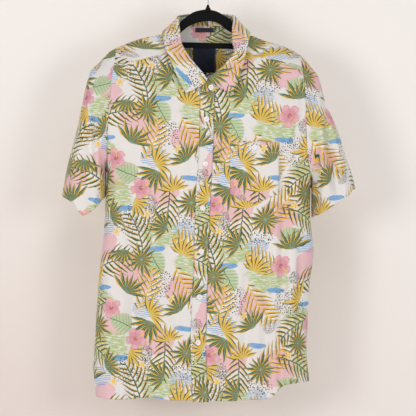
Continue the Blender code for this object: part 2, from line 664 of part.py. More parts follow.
def make_button(name, x, z, proud):
    """A turned button with a dished middle, lying on the cloth at x, z."""
    step = 4.0
    y = float(depth(x, z, -1))
    slope_x = float(depth(x + step, z, -1) - depth(x - step, z, -1)) / (2 * step)
    slope_z = float(depth(x, z + step, -1) - depth(x, z - step, -1)) / (2 * step)
    normal = np.array([slope_x, -1.0, slope_z])
    normal /= np.linalg.norm(normal)
    right = np.cross((0, 0, 1), normal)
    right /= np.linalg.norm(right)
    up = np.cross(normal, right)
    centre = np.array([x, y, z]) + normal * (proud + SEAM_GAP)
    outline = (
        (0.0, 0.0), (BUTTON_RADIUS - 1.0, 0.0), (BUTTON_RADIUS, 1.0), (BUTTON_RADIUS - 0.5, BUTTON_THICK),
        (BUTTON_RADIUS - BUTTON_RIM, BUTTON_THICK), (BUTTON_RADIUS - BUTTON_RIM - 0.8, BUTTON_THICK - BUTTON_DISH),
        (0.0, BUTTON_THICK - BUTTON_DISH),
    )
    mesh = bmesh.new()
    verts = [mesh.verts.new((r * MM, 0, h * MM)) for r, h in outline]
    edges = [mesh.edges.new(pair) for pair in zip(verts, verts[1:])]
    bmesh.ops.spin(
        mesh, geom=verts + edges, cent=(0, 0, 0), axis=(0, 0, 1), angle=2 * math.pi, steps=16, use_merge=True,
        use_duplicate=False,
    )
    bmesh.ops.remove_doubles(mesh, verts=mesh.verts, dist=1e-6)
    bmesh.ops.recalc_face_normals(mesh, faces=mesh.faces)
    for vert in mesh.verts:
        a, b, c = vert.co
        vert.co = right * a + up * b + normal * c + centre * MM
    finish(name, mesh, (0.86, 0.84, 0.80), 0.25)


def make_buttons():
    on_placket = CLOTH / 2 + SEAM_GAP + COLLAR_CLOTH
    for number, z in enumerate(PLACKET_BUTTONS, 1):
        make_button(f"button_{number}", float(placket_edges(z).mean()), z, on_placket)
    make_button("button_stand", *STAND_BUTTON, STAND_BUTTON_PROUD)
    make_button("button_pocket", POCKET_MIDDLE, POCKET_BUTTON, CLOTH * 1.5 + SEAM_GAP + 0.2)


def rounded_section(thick, half_height):
    """Corners of a bar's section, with its edges broken: (depth, height) round it."""
    y, e = thick / 2, HANGER_EDGE
    h = half_height
    return ((-y, h - e), (-y + e, h), (y - e, h), (y, h - e), (y, e - h), (y - e, -h), (e - y, -h), (-y, e - h))


def swept(outer, inner, thick):
    """A bar between an outer and an inner line of points in the hanger's plane."""
    mesh = bmesh.new()
    rings = []
    for (xo, zo), (xi, zi) in zip(outer, inner):
        middle = np.array([(xo + xi) / 2, (zo + zi) / 2])
        half = np.array([xo - xi, zo - zi]) / 2
        size = np.linalg.norm(half)
        ring = []
        for y, h in rounded_section(thick, size):
            x, z = middle + half / size * h
            ring.append(mesh.verts.new((x * MM, y * MM, z * MM)))
        rings.append(ring)
    for a, b in zip(rings, rings[1:]):
        for i in range(len(a)):
            j = (i + 1) % len(a)
            mesh.faces.new((a[i], a[j], b[j], b[i]))
    mesh.faces.new(rings[0][::-1])
    mesh.faces.new(rings[-1])
    bmesh.ops.recalc_face_normals(mesh, faces=mesh.faces)
    return mesh


def make_hanger():
    black = (0.012, 0.012, 0.013)
    arms_mesh = swept([row[:2] for row in HANGER], [row[2:] for row in HANGER], HANGER_THICK)
    arms = finish("hanger", arms_mesh, black, 0.9)
    x0, z0, x1, z1, height = BAR
    bar_mesh = swept([(x0, z0), (x1, z1)], [(x0, z0 - height), (x1, z1 - height)], BAR_THICK)
    bar = finish("bar_cutter", bar_mesh, black, 0.9)
    mesh = bmesh.new()
    verts = [mesh.verts.new((r * MM, 0, (KNOB_FOOT + h) * MM)) for h, r in ((0, 0), *KNOB, (KNOB[-1][0], 0))]
    edges = [mesh.edges.new(pair) for pair in zip(verts, verts[1:])]
    bmesh.ops.spin(
        mesh, geom=verts + edges, cent=(0, 0, 0), axis=(0, 0, 1), angle=2 * math.pi, steps=16, use_merge=True,
        use_duplicate=False,
    )
    bmesh.ops.remove_doubles(mesh, verts=mesh.verts, dist=1e-6)
    bmesh.ops.recalc_face_normals(mesh, faces=mesh.faces)
    knob = finish("knob_cutter", mesh, black, 0.9)
    for other in (bar, knob):
        other.hide_render = True
        other.display_type = "WIRE"
        join = arms.modifiers.new("Join", "BOOLEAN")
        join.operation = "UNION"
        join.solver = "EXACT"
        join.object = other


def make_hook():
    points = list(HOOK_SHANK)
    radius = HOOK_INSIDE + HOOK_WIRE
    for degrees in np.linspace(HOOK_FROM, HOOK_TO, HOOK_STEPS):
        a = math.radians(degrees)
        points.append((radius * math.cos(a), -HOOK_INSIDE + radius * math.sin(a)))
    route = stations(points)(np.linspace(0, 1, HOOK_POINTS))
    curve = bpy.data.curves.new("hanger_hook", "CURVE")
    curve.dimensions = "3D"
    spline = curve.splines.new("POLY")
    spline.points.add(len(route) - 1)
    for point, (x, z) in zip(spline.points, route):
        point.co = (x * MM, 0, z * MM, 1)
    curve.bevel_depth = HOOK_WIRE * MM
    curve.bevel_resolution = 2
    curve.use_fill_caps = True
    material = bpy.data.materials.new("hanger_hook")
    material.use_nodes = True
    shader = material.node_tree.nodes["Principled BSDF"]
    shader.inputs["Base Color"].default_value = (0.6, 0.6, 0.6, 1)
    shader.inputs["Metallic"].default_value = 1.0
    shader.inputs["Roughness"].default_value = 0.25
    curve.materials.append(material)
    bpy.context.scene.collection.objects.link(bpy.data.objects.new("hanger_hook", curve))


def main():
    for leftover in list(bpy.data.objects):
        bpy.data.objects.remove(leftover, do_unlink=True)
    print_cloth = (0.72, 0.70, 0.66)
    navy = (0.012, 0.018, 0.045)
    make_fronts(print_cloth)
    make_back(print_cloth)
    make_yoke(print_cloth)
    for side in ("right", "left"):
        make_sleeve(side, print_cloth)
    make_stand(print_cloth)
    make_leaf(print_cloth)
    make_buttons()
    make_label("label", LABEL, navy)
    make_label("label_small", LABEL_SMALL, navy, 0.7)
    make_label("size_tab", SIZE_TAB, navy)
    make_hanger()
    make_hook()


main()
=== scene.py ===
"""A printed camp shirt on a slim flocked hanger: its cloth, sewing, buttons, labels, hanger and stage.

Laid out as an add-on. Each operator in the sidebar makes one group of pieces from the sizes and colours
in the property groups. Tables are in millimetres, in the frame of the CAD part: the origin is inside the
crown of the hook, the front faces -Y, +Z is up and +X is the wearer's left.
"""

import math

import bmesh
import bpy
import numpy as np
from bpy.props import FloatProperty, FloatVectorProperty, PointerProperty
from mathutils import Matrix, Vector


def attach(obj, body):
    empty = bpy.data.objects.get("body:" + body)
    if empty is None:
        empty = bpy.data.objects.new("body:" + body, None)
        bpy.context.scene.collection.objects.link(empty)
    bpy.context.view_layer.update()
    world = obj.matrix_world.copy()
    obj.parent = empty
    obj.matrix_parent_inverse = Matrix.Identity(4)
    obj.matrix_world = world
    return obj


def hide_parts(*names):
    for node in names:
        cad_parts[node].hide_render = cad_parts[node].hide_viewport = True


bl_info = {
    "name": "Printed Camp Shirt",
    "version": (1, 0, 0),
    "blender": (4, 5, 0),
    "location": "View3D > Sidebar > Shirt",
    "description": "Makes a printed camp shirt on its hanger, piece by piece as it is cut and sewn",
    "category": "Object",
}

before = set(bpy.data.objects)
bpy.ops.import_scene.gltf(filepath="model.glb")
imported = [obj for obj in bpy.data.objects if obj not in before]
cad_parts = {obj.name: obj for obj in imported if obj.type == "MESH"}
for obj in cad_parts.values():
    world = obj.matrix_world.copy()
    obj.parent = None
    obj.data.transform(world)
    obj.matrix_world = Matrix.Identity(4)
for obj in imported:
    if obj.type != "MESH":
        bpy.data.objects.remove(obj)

MM = 0.001

# The hanging body, as on the CAD part
MIDDLE = -3.0
SHOULDER_FALL = 200.0
SIDE_ROUNDING = 3.2
ARMHOLE_CLOSING = 115.0
UNDERARM = {"right": -414.0, "left": -447.0}
SEAM_INSET = 13.0
SEAM_INSET_RUN = 220.0
SEAM_LAP = 2.2  # how far a sewn-down edge reaches past its seam


RIDGE = (  # the shoulder line, which fades into the neck: x, z
    (-205, -160), (-189, -152), (-172, -145), (-142, -134.5), (-125, -130), (-106, -127), (-88, -122.5),
    (-74, -118.5), (-62, -97), (-38, -70), (0, -54), (38, -70), (63, -98), (76, -121), (95, -129),
    (116, -137.5), (142, -145), (166, -153.5), (183, -162.5), (193, -168), (205, -176),
)
SIDE = {  # armhole seam, then the body's edge: z, x
    "right": (
        (-895, -233), (-871, -236), (-850, -238), (-815, -240), (-771, -237), (-704, -233), (-640, -228.5),
        (-594, -224), (-540, -218), (-472, -214), (-414, -211), (-368, -209), (-326, -207), (-286, -205),
        (-252, -203), (-220, -200.5), (-200, -197), (-178, -193), (-152, -189),
    ),
    "left": (
        (-895, 214), (-848, 211), (-792, 206.5), (-750, 207.5), (-685, 211), (-634, 214), (-601, 219.5),
        (-575, 222.5), (-560, 219.5), (-514, 214), (-480, 213.5), (-447, 214), (-418, 213), (-388, 206.5),
        (-346, 203.5), (-304, 202.5), (-262, 202.5), (-231, 200.5), (-202, 196.5), (-168, 193),
    ),
}
FULLNESS = (  # depth of the cloth before and behind the hanger: z, front, back
    (-900, 58, 46), (-750, 61, 47), (-600, 60, 46), (-450, 58, 44), (-350, 56, 42), (-250, 52, 40),
    (-180, 46, 37), (-120, 40, 35), (-50, 36, 34),
)
HEM_LEVEL = -880.0
HEM = (  # x, z
    (-240, -880), (-218, -884), (-185, -886), (-139, -881), (-116, -879.5), (-84, -885), (-32, -886),
    (23, -887), (99, -884.5), (118, -883), (133, -879), (143, -869), (155, -857.5), (166, -853.5),
    (193, -851.5), (224, -849),
)
FRONT_YOKE_SEAM = (  # the forward shoulder seams: x, z
    (-195.5, -193), (-181, -190), (-164, -184), (-139, -179), (-118, -172.5), (-92, -166.5), (-76, -156),
    (73, -158), (105, -172.5), (122, -176), (147, -185), (162, -190), (176, -194), (196.5, -203.5),
)
BACK_YOKE_SEAM = -225.0
NECK_SPREAD = 112.0  # x on the back yoke seam that the columns from the neckline fan out to
FOLDS = (  # soft drapes: face (-1 front, 1 back), x and z at the top, x and z at the foot, half width, height
    (-1, -95, -300, -135, -900, 36, 7.0),
    (-1, -172, -430, -176, -905, 24, -5.0),
    (-1, 170, -480, 166, -905, 22, 8.0),
    (-1, 128, -500, 128, -905, 24, -6.0),
    (-1, 60, -500, 48, -905, 30, 5.0),
    (-1, -150, -215, -60, -330, 28, 4.0),
    (-1, 176, -250, 150, -340, 26, 4.0),
    (1, -120, -240, -128, -905, 28, 9.0),
    (1, -30, -236, -52, -905, 30, -8.0),
    (1, 40, -236, 30, -905, 28, 8.0),
    (1, 128, -240, 140, -905, 26, -7.0),
    (1, -186, -430, -180, -905, 22, 5.0),
)


# Neck, placket and pocket
NECK = (  # the collar's stations, from the right front end round the back to the left one:
    # face (-1 front, 0 on the ridge, 1 back), neckline x, z; roll line x, z, depth; leaf's edge x, z, depth
    (-1, -7, -249.5, -1, -225.5, -54, -46, -252, -59),
    (-1, -20.5, -246, -10.5, -214, -53, -51.5, -242.5, -58),
    (-1, -38.5, -229.5, -24, -198.7, -51, -59.5, -226.5, -58),
    (-1, -55, -206.5, -38.5, -181, -46, -69, -205, -55),
    (-1, -68, -181, -51, -160.5, -39, -78, -183, -49),
    (-1, -75.5, -156, -57.5, -144.5, -29, -86.5, -162.5, -39),
    (-1, -77.5, -137, -60, -121, -17, -92.5, -142, -28),
    (0, -77.5, 0, -61.5, -93.5, -1, -96, -118.5, -5),
    (1, -64, -111.5, -51, -85.5, 15, -88, -127.5, 23),
    (1, -38, -106.5, -29, -80, 29, -52, -126, 38),
    (1, -4, -105, -4, -77.5, 35, -4, -125, 43),
    (1, 27, -106.5, 21, -80, 31, 43, -126, 39),
    (1, 54, -111.5, 41.5, -84.5, 17, 78, -128, 24),
    (0, 75, 0, 54, -92, 1, 88.5, -120.5, -3),
    (-1, 75, -139, 52.5, -120.6, -14, 84.5, -141.3, -27),
    (-1, 73, -158, 53, -146.5, -28, 80.5, -163, -39),
    (-1, 68.5, -177.5, 55.5, -167.4, -38, 75, -186.3, -51),
    (-1, 57, -201, 45, -184, -45, 70.5, -204, -56),
    (-1, 41, -223.5, 31, -198.6, -50, 65, -221.4, -59),
    (-1, 22.5, -242, 16.5, -211.7, -53, 59, -237.7, -60),
    (-1, 10, -249.5, 3, -223.6, -55, 51.5, -254.5, -61),
)
YOKE_REACH = (0.25, 0.75)  # how far round the neckline the forward shoulder seams meet it
# the stand's ends lap, the left one over the right one: foot x, z; top x, z; y
STAND_UNDERLAP = (12, -248.5, 10.5, -229, -51.0)
STAND_OVERLAP = (-16, -248, -14, -231, -56.5)
UNDERLAP_MARGIN = 4.0  # the right front ends this far short of the placket's right edge
ROLL = 2.6  # radius of the fold where the leaf turns down over the stand
LEAF_SAG = 12.0  # how far the leaf runs on down before it leaves for its edge

PLACKET = (  # z, left edge, right edge
    (-900, -31.5, 2), (-830, -34.5, -3), (-764, -36, -4.5), (-690, -33.5, -2.5), (-600, -29.5, 0),
    (-535, -27.5, 2), (-450, -24.5, 6), (-370, -18.5, 10.5), (-310, -17.5, 12), (-246, -16, 15),
)
PLACKET_TOP = -250.0
PLACKET_FOOT = -889.5

POCKET = (45.5, 146.5, -353.0, -460.0, -481.0)  # its left and right edge, mouth, lower corners and point

# Buttons
BUTTON_RADIUS = 5.7
BUTTON_PROFILE = (  # how far inside the rim, height over the back
    (5.7, 0.0), (1.6, 0.0), (0.7, 0.25), (0.1, 0.9), (0.0, 1.4), (0.25, 2.0), (0.8, 2.35), (1.4, 2.3),
    (1.9, 1.8), (2.5, 1.5), (5.7, 1.4),
)
HOLE_APART = 2.5  # between a button's four holes
HOLE_RADIUS = 0.72
BUTTON_PROUD = {"placket": 2.3, "stand": 4.3, "pocket": 2.6}  # a button's back over the body's middle surface
BUTTONHOLE = (9.0, 1.25, 0.62)  # half its length, half its width, the pitch of its stitches
PLACKET_BUTTONS = (-306, -398, -489.5, -579, -672.5, -766)
STAND_BUTTON = (6.5, -241.0)
POCKET_BUTTON = -364.5

# Sleeves, from the armhole to the cuff
SLEEVE = {
    # the outline over the shoulder and down the outside, x and z; the inside line, x and z; the depth of the
    # cuff before and behind; how far its hem hangs under the line across, by share of it; the same behind
    "right": {
        "outside": (
            (-189.3, -152), (-205, -160.5), (-215.5, -171), (-228.5, -184), (-245.7, -201), (-251, -216),
            (-259.6, -251), (-267, -287), (-273.6, -320), (-284, -361), (-296, -409.5), (-305.6, -464),
        ),
        "inside": ((-213.8, -414), (-213.8, -425), (-214.4, -440), (-215.4, -465)),
        "depth": (60, 50),
        "hem": (
            (0, 0), (0.18, 8), (0.34, 17), (0.42, 33), (0.52, 41), (0.66, 35), (0.78, 27), (0.88, 16), (1, 0),
        ),
        "hem_behind": 14,
    },
    "left": {
        "outside": (
            (193.3, -168), (204.5, -179.5), (224, -203), (232.5, -216), (240, -246), (247.6, -276.5),
            (254.5, -288), (266, -313), (278, -345.5), (288.5, -382), (300.3, -415.5), (308.3, -448.5),
        ),
        "inside": ((217, -447), (217.4, -466), (217.8, -487), (218.4, -509)),
        "depth": (58, 48),
        "hem": ((0, 0), (0.1, -2), (0.18, 3), (0.35, 1), (0.55, 2.5), (0.8, 3), (1, 0)),
        "hem_behind": -6,
    },
}
SLEEVE_FOLDS = (  # as FOLDS, on the sleeves
    (-1, -246, -215, -252, -440, 16, -5.0),
    (-1, 205, -300, 216, -452, 14, -6.0),
    (-1, 232, -270, 243, -470, 16, 8.0),
    (-1, 256, -310, 264, -420, 14, -5.0),
    (1, -250, -230, -256, -450, 16, -6.0),
    (1, 246, -240, 262, -460, 16, -7.0),
)

# Labels inside the neck: middle x, top z, width, height; how far it lies off the back; the edges it is sewn at
LABELS = {
    "label": ((-8, -143.5, 48, 58), 1.9, ("first", "last")),
    "label_small": ((-7, -108.3, 40, 9.2), 2.1, ("first", "last")),
    "size_tab": ((-7, -202.2, 7.5, 9.5), 1.7, ()),
}
LABEL_CLOTH = 0.0007  # metres

# Hanger
HANGER_THICK = 6.0
HANGER = (  # from the right tip over the arch to the left tip: outer x, z; inner x, z
    (-203.5, -165, -202, -173), (-189, -156.5, -185, -174), (-172, -148, -166, -166),
    (-142, -137.3, -138, -158), (-106, -129.8, -104, -149), (-88, -125.8, -90, -144.5),
    (-77, -123.6, -80, -140.5), (-70, -120.5, -68, -132), (-63.5, -110, -58.5, -122.5),
    (-57.5, -98, -49.5, -114.8), (-45.5, -88.2, -41, -108.5), (-34.7, -80.4, -31.5, -103.8),
    (-21.6, -75.2, -19.5, -99.5), (-2, -72.4, -2, -97), (17.2, -76.2, 15, -99),
    (30, -82.7, 28, -106.3), (40.8, -89, 38.6, -115),
    (49, -96, 49.5, -122), (56, -109, 58, -131), (64, -120, 68, -139), (76, -125, 80, -145),
    (95, -131.8, 96, -151), (116, -140.5, 116, -160), (142, -148, 140, -168), (166, -156.8, 162, -178),
    (183, -166, 178, -184), (197, -177.5, 190, -190),
)
BAR = (-122, -139.5, 128, -145.5, 12.0)  # left end x, z of its upper edge; right end x, z; height
BAR_THICK = 4.6
BAR_ROUND = 24  # cells round the hanger's section
BAR_POWER = 3.5  # 2 would make that section an ellipse, more a box with softer or harder corners
KNOB = ((0, 5.6), (3.5, 5.6), (5.5, 4.2), (8.5, 2.9), (11.0, 2.6))  # height over its foot, radius
KNOB_FOOT = -74.5
HOOK_WIRE = 1.9  # radius
HOOK_INSIDE = 20.0  # radius of the crown inside the wire
HOOK_SHANK = ((0, -63.1), (0, -56), (0.6, -49.5), (5.5, -44.2))  # x, z, from the knob to the round
HOOK_FROM = -52.0  # degrees round the crown's middle
HOOK_TO = 205.0

# Sewing, in millimetres
SEAM_STITCH = 7.0  # from an armhole's edge to its line of stitches
SEAM_RISE = 0.35  # of the cloth over a felled seam
YOKE_RISE = 0.95  # of the yoke's turned edges over what they are sewn to
CUFF_HEM = 24.0  # width of a sleeve's hem, and of the pocket's
STITCH_OFF = 1.5  # from a hem's turned edge to its stitches
LEAF_STITCH = 5.5  # from the collar's edge to its stitches
STITCH = (3.0, 2.1)  # the pitch and length of a stitch
LABEL_STITCH = (2.4, 1.6)
PLACKET_LAYERS = 1.6  # the placket's thickness, in layers of cloth

# Cells of the pieces' grids
PANEL_ROWS = 190  # of the fronts and the back
NECK_CELLS = 22  # columns of a front along its neckline
SEAM_CELLS = 40  # and along the yoke seam
ROUND_CELLS = 60  # columns of the yoke round the neck
YOKE_CELLS = 44
COLLAR_CELLS = 132
STAND_CELLS = 9
LEAF_CELLS = 18
FOLD_ROW = 8  # the leaf's row that lies on top of its fold
SLEEVE_HALF = 58  # columns of a sleeve's front
SLEEVE_ROWS = 78
LABEL_CELLS = 15


CREASES = (  # finer than the drapes and only on the cloth itself, in the same columns
    (-1, -196, -300, -188, -560, 9, 4.5),
    (-1, -181, -330, -176, -520, 8, -4.0),
    (-1, -150, -200, -96, -350, 10, 3.2),
    (-1, -128, -205, -70, -330, 9, -3.0),
    (-1, -96, -420, -104, -690, 11, 3.4),
    (-1, -62, -560, -66, -900, 9, -3.6),
    (-1, -205, -600, -212, -900, 8, 4.2),
    (-1, -188, -620, -192, -900, 8, -4.6),
    (-1, -150, -600, -160, -905, 11, 4.2),
    (-1, -34, -330, -30, -560, 8, -2.4),
    (-1, 24, -300, 36, -520, 9, 2.6),
    (-1, 84, -520, 74, -900, 10, -4.0),
    (-1, 106, -600, 98, -905, 10, 4.0),
    (-1, 140, -470, 135, -880, 11, 6.5),
    (-1, 160, -255, 151, -905, 11, -11.0),
    (-1, 172, -280, 171, -420, 7, -5.0),
    (-1, 184, -235, 184, -480, 8, 5.0),
    (-1, 172, -560, 168, -880, 8, 4.0),
    (-1, 190, -520, 188, -780, 7, -4.0),
    (-1, 150, -205, 112, -330, 10, 3.0),
    (-1, 172, -215, 160, -345, 8, -3.2),
    (1, -160, -236, -166, -720, 9, 2.8),
    (1, -88, -236, -96, -860, 10, -3.4),
    (1, -8, -232, -14, -905, 9, 3.4),
    (1, 82, -236, 86, -905, 10, -3.0),
    (1, 160, -236, 168, -760, 9, 3.2),
    (1, -52, -420, -74, -640, 8, 2.2),
    (1, 58, -500, 70, -800, 8, -2.2),
    (1, -196, -380, -200, -640, 7, -2.6),
    (1, 190, -400, 196, -690, 7, 2.6),
    (1, -140, -300, -120, -520, 8, -2.4),
    (1, 30, -260, 12, -470, 9, -2.4),
    (1, 120, -330, 132, -560, 8, 2.4),
)
SLEEVE_CREASES = (
    (-1, -230, -205, -234, -350, 9, 6.0),
    (-1, -243, -270, -240, -420, 10, -11.0),
    (-1, -262, -300, -276, -430, 9, 4.4),
    (-1, -226, -350, -224, -450, 7, 2.6),
    (-1, 234, -255, 213, -470, 10, -13.0),
    (-1, 236, -265, 268, -460, 10, -13.0),
    (-1, 230, -285, 234, -490, 10, 8.0),
    (-1, 264, -330, 286, -440, 8, 4.0),
    (1, -228, -220, -236, -400, 8, 3.4),
    (1, -270, -310, -282, -440, 7, -3.0),
    (1, 226, -230, 236, -420, 8, 3.4),
    (1, 266, -320, 284, -440, 7, -3.0),
)
LEVELS = np.arange(-120.0, -906.0, -3.0)  # z of the sections that the panels are measured off on
ACROSS = 181  # points on each


def smooth_curve(rows):
    """The smooth curve through rows of (at, value, ...), as a function of at that gives the values."""
    rows = np.array(sorted(rows), float)
    at, values = rows[:, 0], rows[:, 1:]
    slopes = np.gradient(values, at, axis=0)

    def value(t):
        t = np.clip(np.asarray(t, float), at[0], at[-1])
        i = np.clip(np.searchsorted(at, t) - 1, 0, len(at) - 2)
        width = (at[i + 1] - at[i])[..., None]
        u = (t - at[i])[..., None] / width
        out = (
            values[i] * (1 + 2 * u) * (1 - u) ** 2
            + values[i + 1] * u**2 * (3 - 2 * u)
            + slopes[i] * width * u * (1 - u) ** 2
            - slopes[i + 1] * width * u**2 * (1 - u)
        )
        return out[..., 0] if out.shape[-1] == 1 else out

    return value


def stations(rows):
    """The smooth curve through rows in their order, as a function of 0 to 1 along them."""
    steps = np.linspace(0, 1, len(rows))
    return smooth_curve([(step, *row) for step, row in zip(steps, rows)])


def smoothstep(t):
    """0 below 0, 1 above 1 and a smooth rise between."""
    t = np.clip(t, 0, 1)
    return t * t * (3 - 2 * t)


def quarter(t):
    """A quarter round from 0 to 1, steep at 0 and level at 1."""
    return np.sqrt(1 - (1 - np.clip(t, 0, 1)) ** 2)


ridge = smooth_curve(RIDGE)
side_x = {side: smooth_curve(rows) for side, rows in SIDE.items()}
fullness = smooth_curve(FULLNESS)
hem = smooth_curve(HEM)
front_yoke_seam = smooth_curve(FRONT_YOKE_SEAM)
placket_edges = smooth_curve(PLACKET)


def neck_rows():
    """The collar's stations, the neckline as x and w: w * w under the ridge, and before it where w < 0."""
    rows = []
    for face, x, z, *rest in NECK:
        w = face * math.sqrt(float(ridge(x)) - z) if face else 0.0
        rows.append((x, w, *rest))
    return rows


neck = stations(neck_rows())


def folds(x, z, face, table):
    """How far the drapes and creases push the cloth of this face outwards at x, z."""
    out = np.zeros(np.broadcast(x, z).shape)
    for of_face, x_top, z_top, x_foot, z_foot, half_width, height in table:
        if of_face != face:
            continue
        down = np.clip((z_top - z) / (z_top - z_foot), 0, 1)
        middle = x_top + (x_foot - x_top) * down
        fade = smoothstep(down / 0.3) * smoothstep((1.12 - down) / 0.3)
        out = out + height * fade * np.exp(-(((x - middle) / half_width) ** 2))
    return out


def ripples(x, z, face):
    """Slight unevenness that all cloth has, longer than it is wide."""
    a = np.sin(x * 0.067 + 1.9 * np.sin(z * 0.0113 + face) + 0.4 * face)
    a = a * np.sin(z * 0.0171 + 0.9 * np.sin(x * 0.021))
    b = np.sin(x * 0.158 + 1.3 * np.sin(z * 0.031) + 2.1 * face) * np.sin(z * 0.043 + x * 0.017 + 1.0)
    return 1.1 * a + 0.5 * b


def depth(x, z, face):
    """y of the body's middle surface at x, z, on the front (face -1) or the back (face 1)."""
    x, z = np.broadcast_arrays(np.asarray(x, float), np.asarray(z, float))
    out = np.zeros(x.shape)
    drape = folds(x, z, face, FOLDS + CREASES) + ripples(x, z, face) * smoothstep((-150 - z) / 60)
    for side, sign in (("right", -1), ("left", 1)):
        here = (x - MIDDLE) * sign >= 0
        reach = np.clip((x - MIDDLE) / (side_x[side](z) - MIDDLE), 0, 1) ** SIDE_ROUNDING
        closing = quarter((z - UNDERARM[side]) / ARMHOLE_CLOSING) ** SIDE_ROUNDING
        round_off = np.clip(1 - reach * (1 - closing), 0, 1) ** (1 / SIDE_ROUNDING)
        full = fullness(z)[..., 0 if face < 0 else 1]
        fall = quarter((ridge(x) - z) / SHOULDER_FALL)
        out = np.where(here, face * (full * fall + drape) * round_off, out)
    return out


def inset(z):
    """How far the back has wrapped round to the front at the left side seam."""
    return SEAM_INSET * smoothstep((UNDERARM["left"] - z) / SEAM_INSET_RUN)


def along(line):
    """Length along a line of points, at each point."""
    return np.concatenate([[0], np.cumsum(np.linalg.norm(np.diff(line, axis=0), axis=1))])


def section(kind, z):
    """Points of the body's section at z, closer where it turns, and the length at which the panel ends."""
    t = np.linspace(0, 1, ACROSS)
    if kind == "back":
        first, last = float(side_x["right"](z)), float(side_x["left"](z))
        x = first + (last - first) * (1 - np.cos(np.pi * t)) / 2
        line = np.stack([x, depth(x, z, 1)], axis=1)
        length = along(line)[-1]
        x = last - 3 * SEAM_INSET * t**3
        line = np.concatenate([line, np.stack([x, depth(x, z, -1)], axis=1)[1:]])
        return line, length + float(inset(z))
    edges = placket_edges(z)
    start, end = (edges[0], side_x["right"](z)) if kind == "right" else (edges[1], side_x["left"](z))
    x = start + (end - start) * (1 - (1 - t) ** 3)
    line = np.stack([x, depth(x, z, -1)], axis=1)
    return line, along(line)[-1] - (float(inset(z)) if kind == "left" else 0.0)


def measured(kind):
    """The panel's surface as a function of z and share across, with the panel's width at z and share at x."""
    table, widths = [], []
    for z in LEVELS:
        line, end = section(kind, z)
        length = along(line)
        at = np.linspace(0, end, ACROSS)
        table.append(np.stack([np.interp(at, length, line[:, 0]), np.interp(at, length, line[:, 1])], axis=1))
        widths.append(end)
    table, widths = np.array(table), np.array(widths)

    def surface(z, share):
        z, share = np.broadcast_arrays(np.asarray(z, float), np.asarray(share, float))
        r = np.clip((LEVELS[0] - z) / (LEVELS[0] - LEVELS[1]), 0, len(LEVELS) - 1.001)
        c = np.clip(share * (ACROSS - 1), 0, ACROSS - 1.001)
        i, j = r.astype(int), c.astype(int)
        u, v = (r - i)[..., None], (c - j)[..., None]
        low = table[i, j] * (1 - v) + table[i, j + 1] * v
        high = table[i + 1, j] * (1 - v) + table[i + 1, j + 1] * v
        both = low * (1 - u) + high * u
        return np.stack([both[..., 0], both[..., 1], z], axis=-1)

    def width(z):
        return np.interp(-np.asarray(z), -LEVELS, widths)

    def share_at(x, z):
        xs = surface(z, np.linspace(0, 1, ACROSS))[:, 0]
        order = np.argsort(xs)
        return float(np.interp(x, xs[order], np.linspace(0, 1, ACROSS)[order]))

    return surface, width, share_at


def neckline(t):
    """x, z and w of the neckline at t, from 0 at the right front end to 1 at the left one."""
    at = neck(t)
    x, w = at[..., 0], at[..., 1]
    return x, ridge(x) - w * w, w


def rows_down(count, length, band=15.0, fine=7):
    """Shares from 0 to 1 with finer rows along a stitched hem."""
    share = 1 - band / length
    return np.concatenate([np.linspace(0, share, count, endpoint=False), np.linspace(share, 1, fine)])


def panel(kind, top, settled):
    """A panel's grid from its upper edge, rows of (z, share), down to the hem, and its cut laid flat."""
    surface, width, _ = measured(kind)
    z_top, at_top = np.array(top).T
    share_foot = np.linspace(0, 1, len(top))
    z_foot = np.full(len(top), HEM_LEVEL)
    for _ in range(5):
        z_foot = hem(surface(z_foot, share_foot)[:, 0])
    t = rows_down(PANEL_ROWS, 700)[:, None]
    z = z_top + (z_foot - z_top) * t
    mix = smoothstep(t / settled)
    share = at_top * (1 - mix) + share_foot * mix
    points = surface(z, share)
    middle = 0.5 if kind == "back" else 0.0
    across = (share - middle) * width(z) * (-1 if kind == "right" else 1)
    return points, np.stack([across, z], axis=-1)


def front_top(side):
    """The upper edge of a front: up the neckline from the placket, then out along the yoke seam."""
    _, _, share_at = measured(side)
    first = 1 / 24
    start, corner = (first, YOKE_REACH[0]) if side == "right" else (1 - first, YOKE_REACH[1])
    x, z, _ = neckline(np.linspace(start, corner, NECK_CELLS + 1)[:-1])
    top = list(zip(x, z))
    if side == "left":
        x_end, z_end, _ = neckline(1.0)
        x_edge = float(placket_edges(z_end)[1])
        slope = (top[0][1] - z_end) / (top[0][0] - x_end)
        lead = np.linspace(x_edge, top[0][0], 4)[:-1]
        top = [*zip(lead, z_end + slope * (lead - x_end)), *top]
    seam_x, seam_z, _ = yoke_seam(side)
    top += list(zip(seam_x, seam_z))
    out = [(z, share_at(x, z)) for x, z in top]
    return [*out[:-1], (out[-1][0], 1.0)]


def yoke_seam(side):
    """Points along a forward shoulder seam from the neckline to the armhole: x, z and w."""
    index = 0 if side == "right" else 1
    x = np.linspace(float(neckline(YOKE_REACH[index])[0]), FRONT_YOKE_SEAM[-index][0], SEAM_CELLS + 1)
    z = front_yoke_seam(x)
    return x, z, -np.sqrt(ridge(x) - z)


def back_seam():
    """x of the back yoke seam's points, from the right armhole to the left one."""
    x_right, x_left = (float(side_x[side](BACK_YOKE_SEAM)) for side in ("right", "left"))
    outer_right = np.linspace(x_right, -NECK_SPREAD, SEAM_CELLS + 1)
    inner = np.linspace(-NECK_SPREAD, NECK_SPREAD, ROUND_CELLS + 1)
    outer_left = np.linspace(NECK_SPREAD, x_left, SEAM_CELLS + 1)
    return np.concatenate([outer_right, inner[1:-1], outer_left])


def back_top():
    """The upper edge of the back, as rows of z and share."""
    _, _, share_at = measured("back")
    top = [(BACK_YOKE_SEAM, share_at(x, BACK_YOKE_SEAM)) for x in back_seam()]
    return [(BACK_YOKE_SEAM, 0.0), *top[1:-1], (BACK_YOKE_SEAM, 1.0)]


